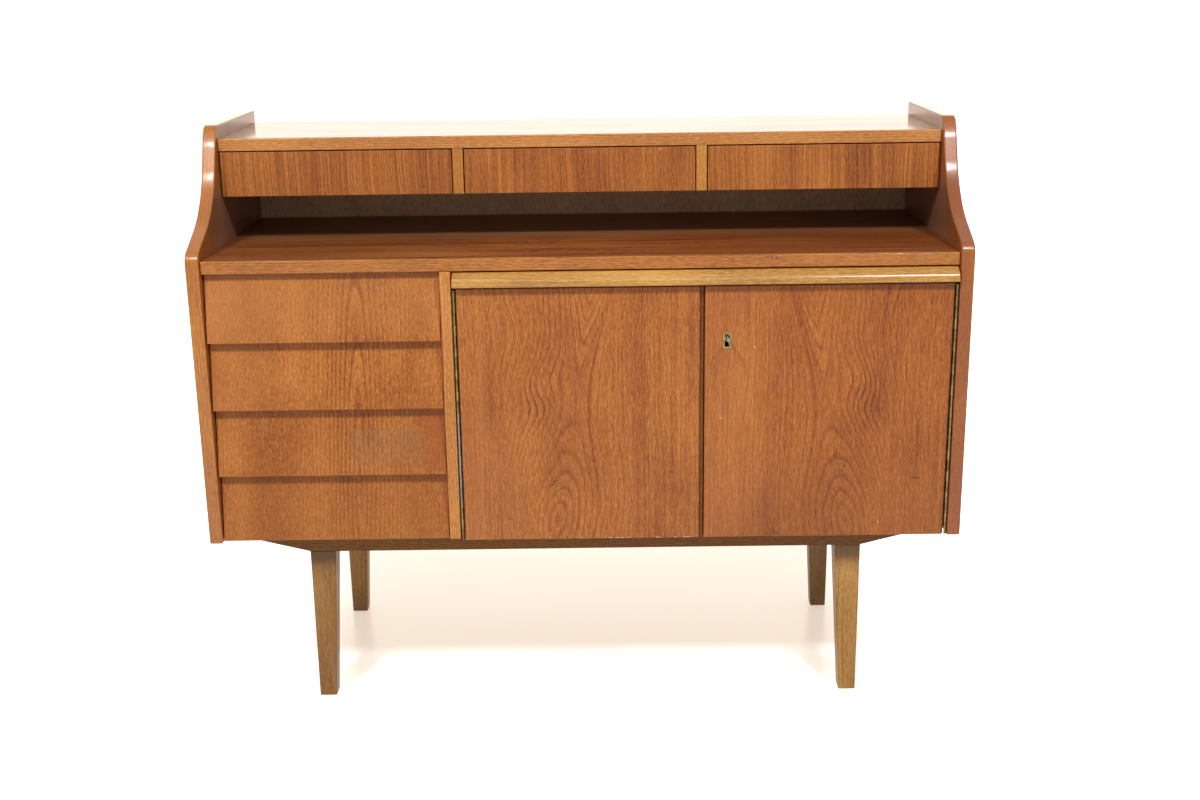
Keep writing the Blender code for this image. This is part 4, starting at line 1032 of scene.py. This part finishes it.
def make_door_bolt():
    """The slide bolt behind the left door: a pierced and slotted guide, and the rod."""
    low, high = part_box("door_bolt_plate")
    bolt_low, bolt_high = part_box("door_bolt")
    x, y = (bolt_low.x + bolt_high.x) / 2, bolt_low.y + 0.0025
    knob_z, travel = bolt_low.z + 0.004, 0.01
    bore, rod_thick, knob_thick = 0.0028, 0.0025, 0.002
    bm = round_edges(blocks((low, high)), 0.001)
    bm = combine(bm, rod((x, y, low.z - PAST), (x, y, high.z + PAST), bore))
    bm = cut(bm, ((x - 0.0023, y, knob_z - 0.0026),
                  (x + 0.0023, y + 0.02, knob_z + 0.0026 + travel)))
    piece("bolt_guide", bm, "brass", "door_bolt_plate", body="left_door")
    bm = combine(
        round_edges(rod((x, y, bolt_low.z), (x, y, bolt_high.z), rod_thick), 0.0006),
        round_edges(rod((x, y, knob_z), (x, bolt_high.y, knob_z), knob_thick), 0.0007),
        "UNION")
    piece("bolt_rod", bm, "steel", "door_bolt", body="door_bolt")


# ---- base

def make_leg(name):
    """A leg that tapers towards its outer corner, notched for the rail at its top."""
    low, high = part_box(name)
    outer_x = low.x if low.x < 0 else high.x
    outer_y, inward = (low.y, 1) if low.y < 0 else (high.y, -1)
    top, foot, rail_tall, rail_thick = 0.042, 0.028, 0.0357, 0.02
    knee = high.z - rail_tall - FIT
    bm = blocks(((low.x, low.y, knee), high))
    under = [face for face in bm.faces if face.normal.z < -0.5]
    verts = pull(bm, under, (0, 0, low.z - knee))
    bmesh.ops.delete(bm, geom=under, context="FACES_ONLY")
    bmesh.ops.scale(bm, vec=(foot / top, foot / top, 1), verts=verts,
                    space=Matrix.Translation((-outer_x, -outer_y, 0)))
    round_edges(bm, 0.0022, 4)
    notch = sorted((outer_y - inward * 0.02, outer_y + inward * (rail_thick + FIT)))
    bm = cut(bm, ((low.x - 0.05, notch[0], knee), (high.x + 0.05, notch[1], high.z + 0.02)))
    piece(f"{name}_post", bm, name, name)


def make_base():
    """Four legs, the two long rails with chamfered ends, and the cross rails."""
    foot, end_height = 0.448, 0.004
    for front in ("front", "back"):
        for side in ("left", "right"):
            make_leg(f"leg_{front}_{side}")
        low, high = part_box(f"base_rail_{front}")
        corners = [
            (low.x, high.z, 0), (low.x, high.z - end_height, 0), (-foot, low.z, 0),
            (foot, low.z, 0), (high.x, high.z - end_height, 0), (high.x, high.z, 0),
        ]
        bm = extrude_outline(corners, "Y", low.y, high.y)
        round_edges(bm, 0.0012, 3, across("Y"))
        piece(f"rail_{front}", bm, "rail", f"base_rail_{front}")
    for name in ("cross_rail_left", "cross_rail_right"):
        rounded_board(f"{name}_bar", name, "rail", 0.0012)


# ---- floor, light, camera

def seen_ray(tree):
    """1 for rays that show the background: seen straight, mirrored or through glass."""
    path = tree.nodes.new("ShaderNodeLightPath")
    total = Sock(tree, path.outputs["Is Camera Ray"])
    for name in ("Is Glossy Ray", "Is Transmission Ray"):
        total = total.larger(Sock(tree, path.outputs[name]))
    return total


def make_floor():
    """A pale floor that is white where it is seen, with the lamps' shadows and a painted
    warm shadow under the case.
    """
    bm = bmesh.new()
    bmesh.ops.create_grid(bm, x_segments=1, y_segments=1, size=9)
    floor = add_object("studio_floor", mesh_of("studio_floor", bm))
    paint = Finish("studio_floor_paint", None)
    tree = paint.tree
    x, y, _ = paint.split(paint.place())
    # painted shadow: the floor's glow is dimmer and warm under the case
    near = (paint.step(x.size(), 0.62, 0.42) * paint.step(y, -0.34, -0.04)
            * paint.step(y, 0.9, 0.45))
    painted_light = paint.mix(near, (1, 1, 1), (0.56, 0.47, 0.375))
    paint.feed(Base_Color=(0.92, 0.92, 0.92), Roughness=0.22, Emission_Color=painted_light,
               Emission_Strength=1)
    plain = paint.node("ShaderNodeBsdfDiffuse", values={"Color": (0.62, 0.6, 0.58)})
    shown = paint.node("ShaderNodeMixShader", values={
        0: seen_ray(tree), 1: plain, 2: Sock(tree, paint.shader.outputs[0])})
    feed(tree, tree.nodes["Material Output"].inputs[0], shown)
    floor.data.materials.append(paint.material)


def make_world():
    """A white surround that lights the object with only a part of its strength."""
    fill = 0.39
    world = bpy.data.worlds.new("studio")
    scene.world = world
    world.use_nodes = True
    tree = world.node_tree
    back = tree.nodes["Background"]
    back.inputs["Color"].default_value = (1, 1, 1, 1)
    strength = fill + seen_ray(tree) * (1 - fill)
    tree.links.new(strength.link, back.inputs["Strength"])


def add_lamp(name, place, away, **settings):
    """An area lamp that shines opposite to the vector away."""
    lamp = bpy.data.lights.new(name, "AREA")
    for key, value in settings.items():
        setattr(lamp, key, value)
    item = add_object(name, lamp)
    item.location = place
    item.rotation_euler = Vector(away).to_track_quat("Z", "Y").to_euler()
    return item


def make_lamps():
    """Two key lamps in front, and two soft warm panels behind the object: the sides
    mirror the low one, the upper shelf mirrors the high one."""
    aim = Vector((0, -0.2, 0.3))
    for name, x in (("key_left", -1.1), ("key_right", 1.1)):
        place = Vector((x, -2.02, 2.85))
        add_lamp(name, place, place - aim, shape="DISK", size=0.4, energy=42)
    for name, height, tall, energy, colour in (
            ("rear_low", 0.675, 0.65, 9.5, (1, 0.87, 0.62)),
            ("rear_high", 1.4, 0.8, 2.8, (1, 0.92, 0.42))):
        panel = add_lamp(name, (0, 3.2, height), (0, 1, 0), shape="RECTANGLE", size=4,
                         size_y=tall, energy=energy, color=colour)
        panel.visible_camera = False


def make_camera():
    """The photograph's camera, as fitted to its edges and corners."""
    yaw, pitch, roll = -0.0036, -0.279, -0.0139
    data = bpy.data.cameras.new("photo_camera")
    data.sensor_width = 36
    data.lens = 44.28
    camera = add_object("photo_camera", data)
    camera.matrix_world = (Matrix.Translation((0.0359, -2.4105, 1.1573))
                           @ Matrix.Rotation(-yaw, 4, "Z")
                           @ Matrix.Rotation(math.pi / 2 + pitch, 4, "X")
                           @ Matrix.Rotation(roll, 4, "Z"))
    scene.camera = camera


def main():
    make_camera()
    make_world()
    make_lamps()
    make_floor()
    make_woods()
    make_metals()
    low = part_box("lock_case")[0]
    key = (low.x + 0.032, low.z + 0.012)
    make_sides()
    make_case()
    make_large_drawers()
    make_small_drawers()
    make_leaf()
    make_doors(key)
    make_hinges()
    make_lock(key)
    make_key(key)
    make_door_bolt()
    make_base()


main()
scene.view_settings.view_transform = "Standard"
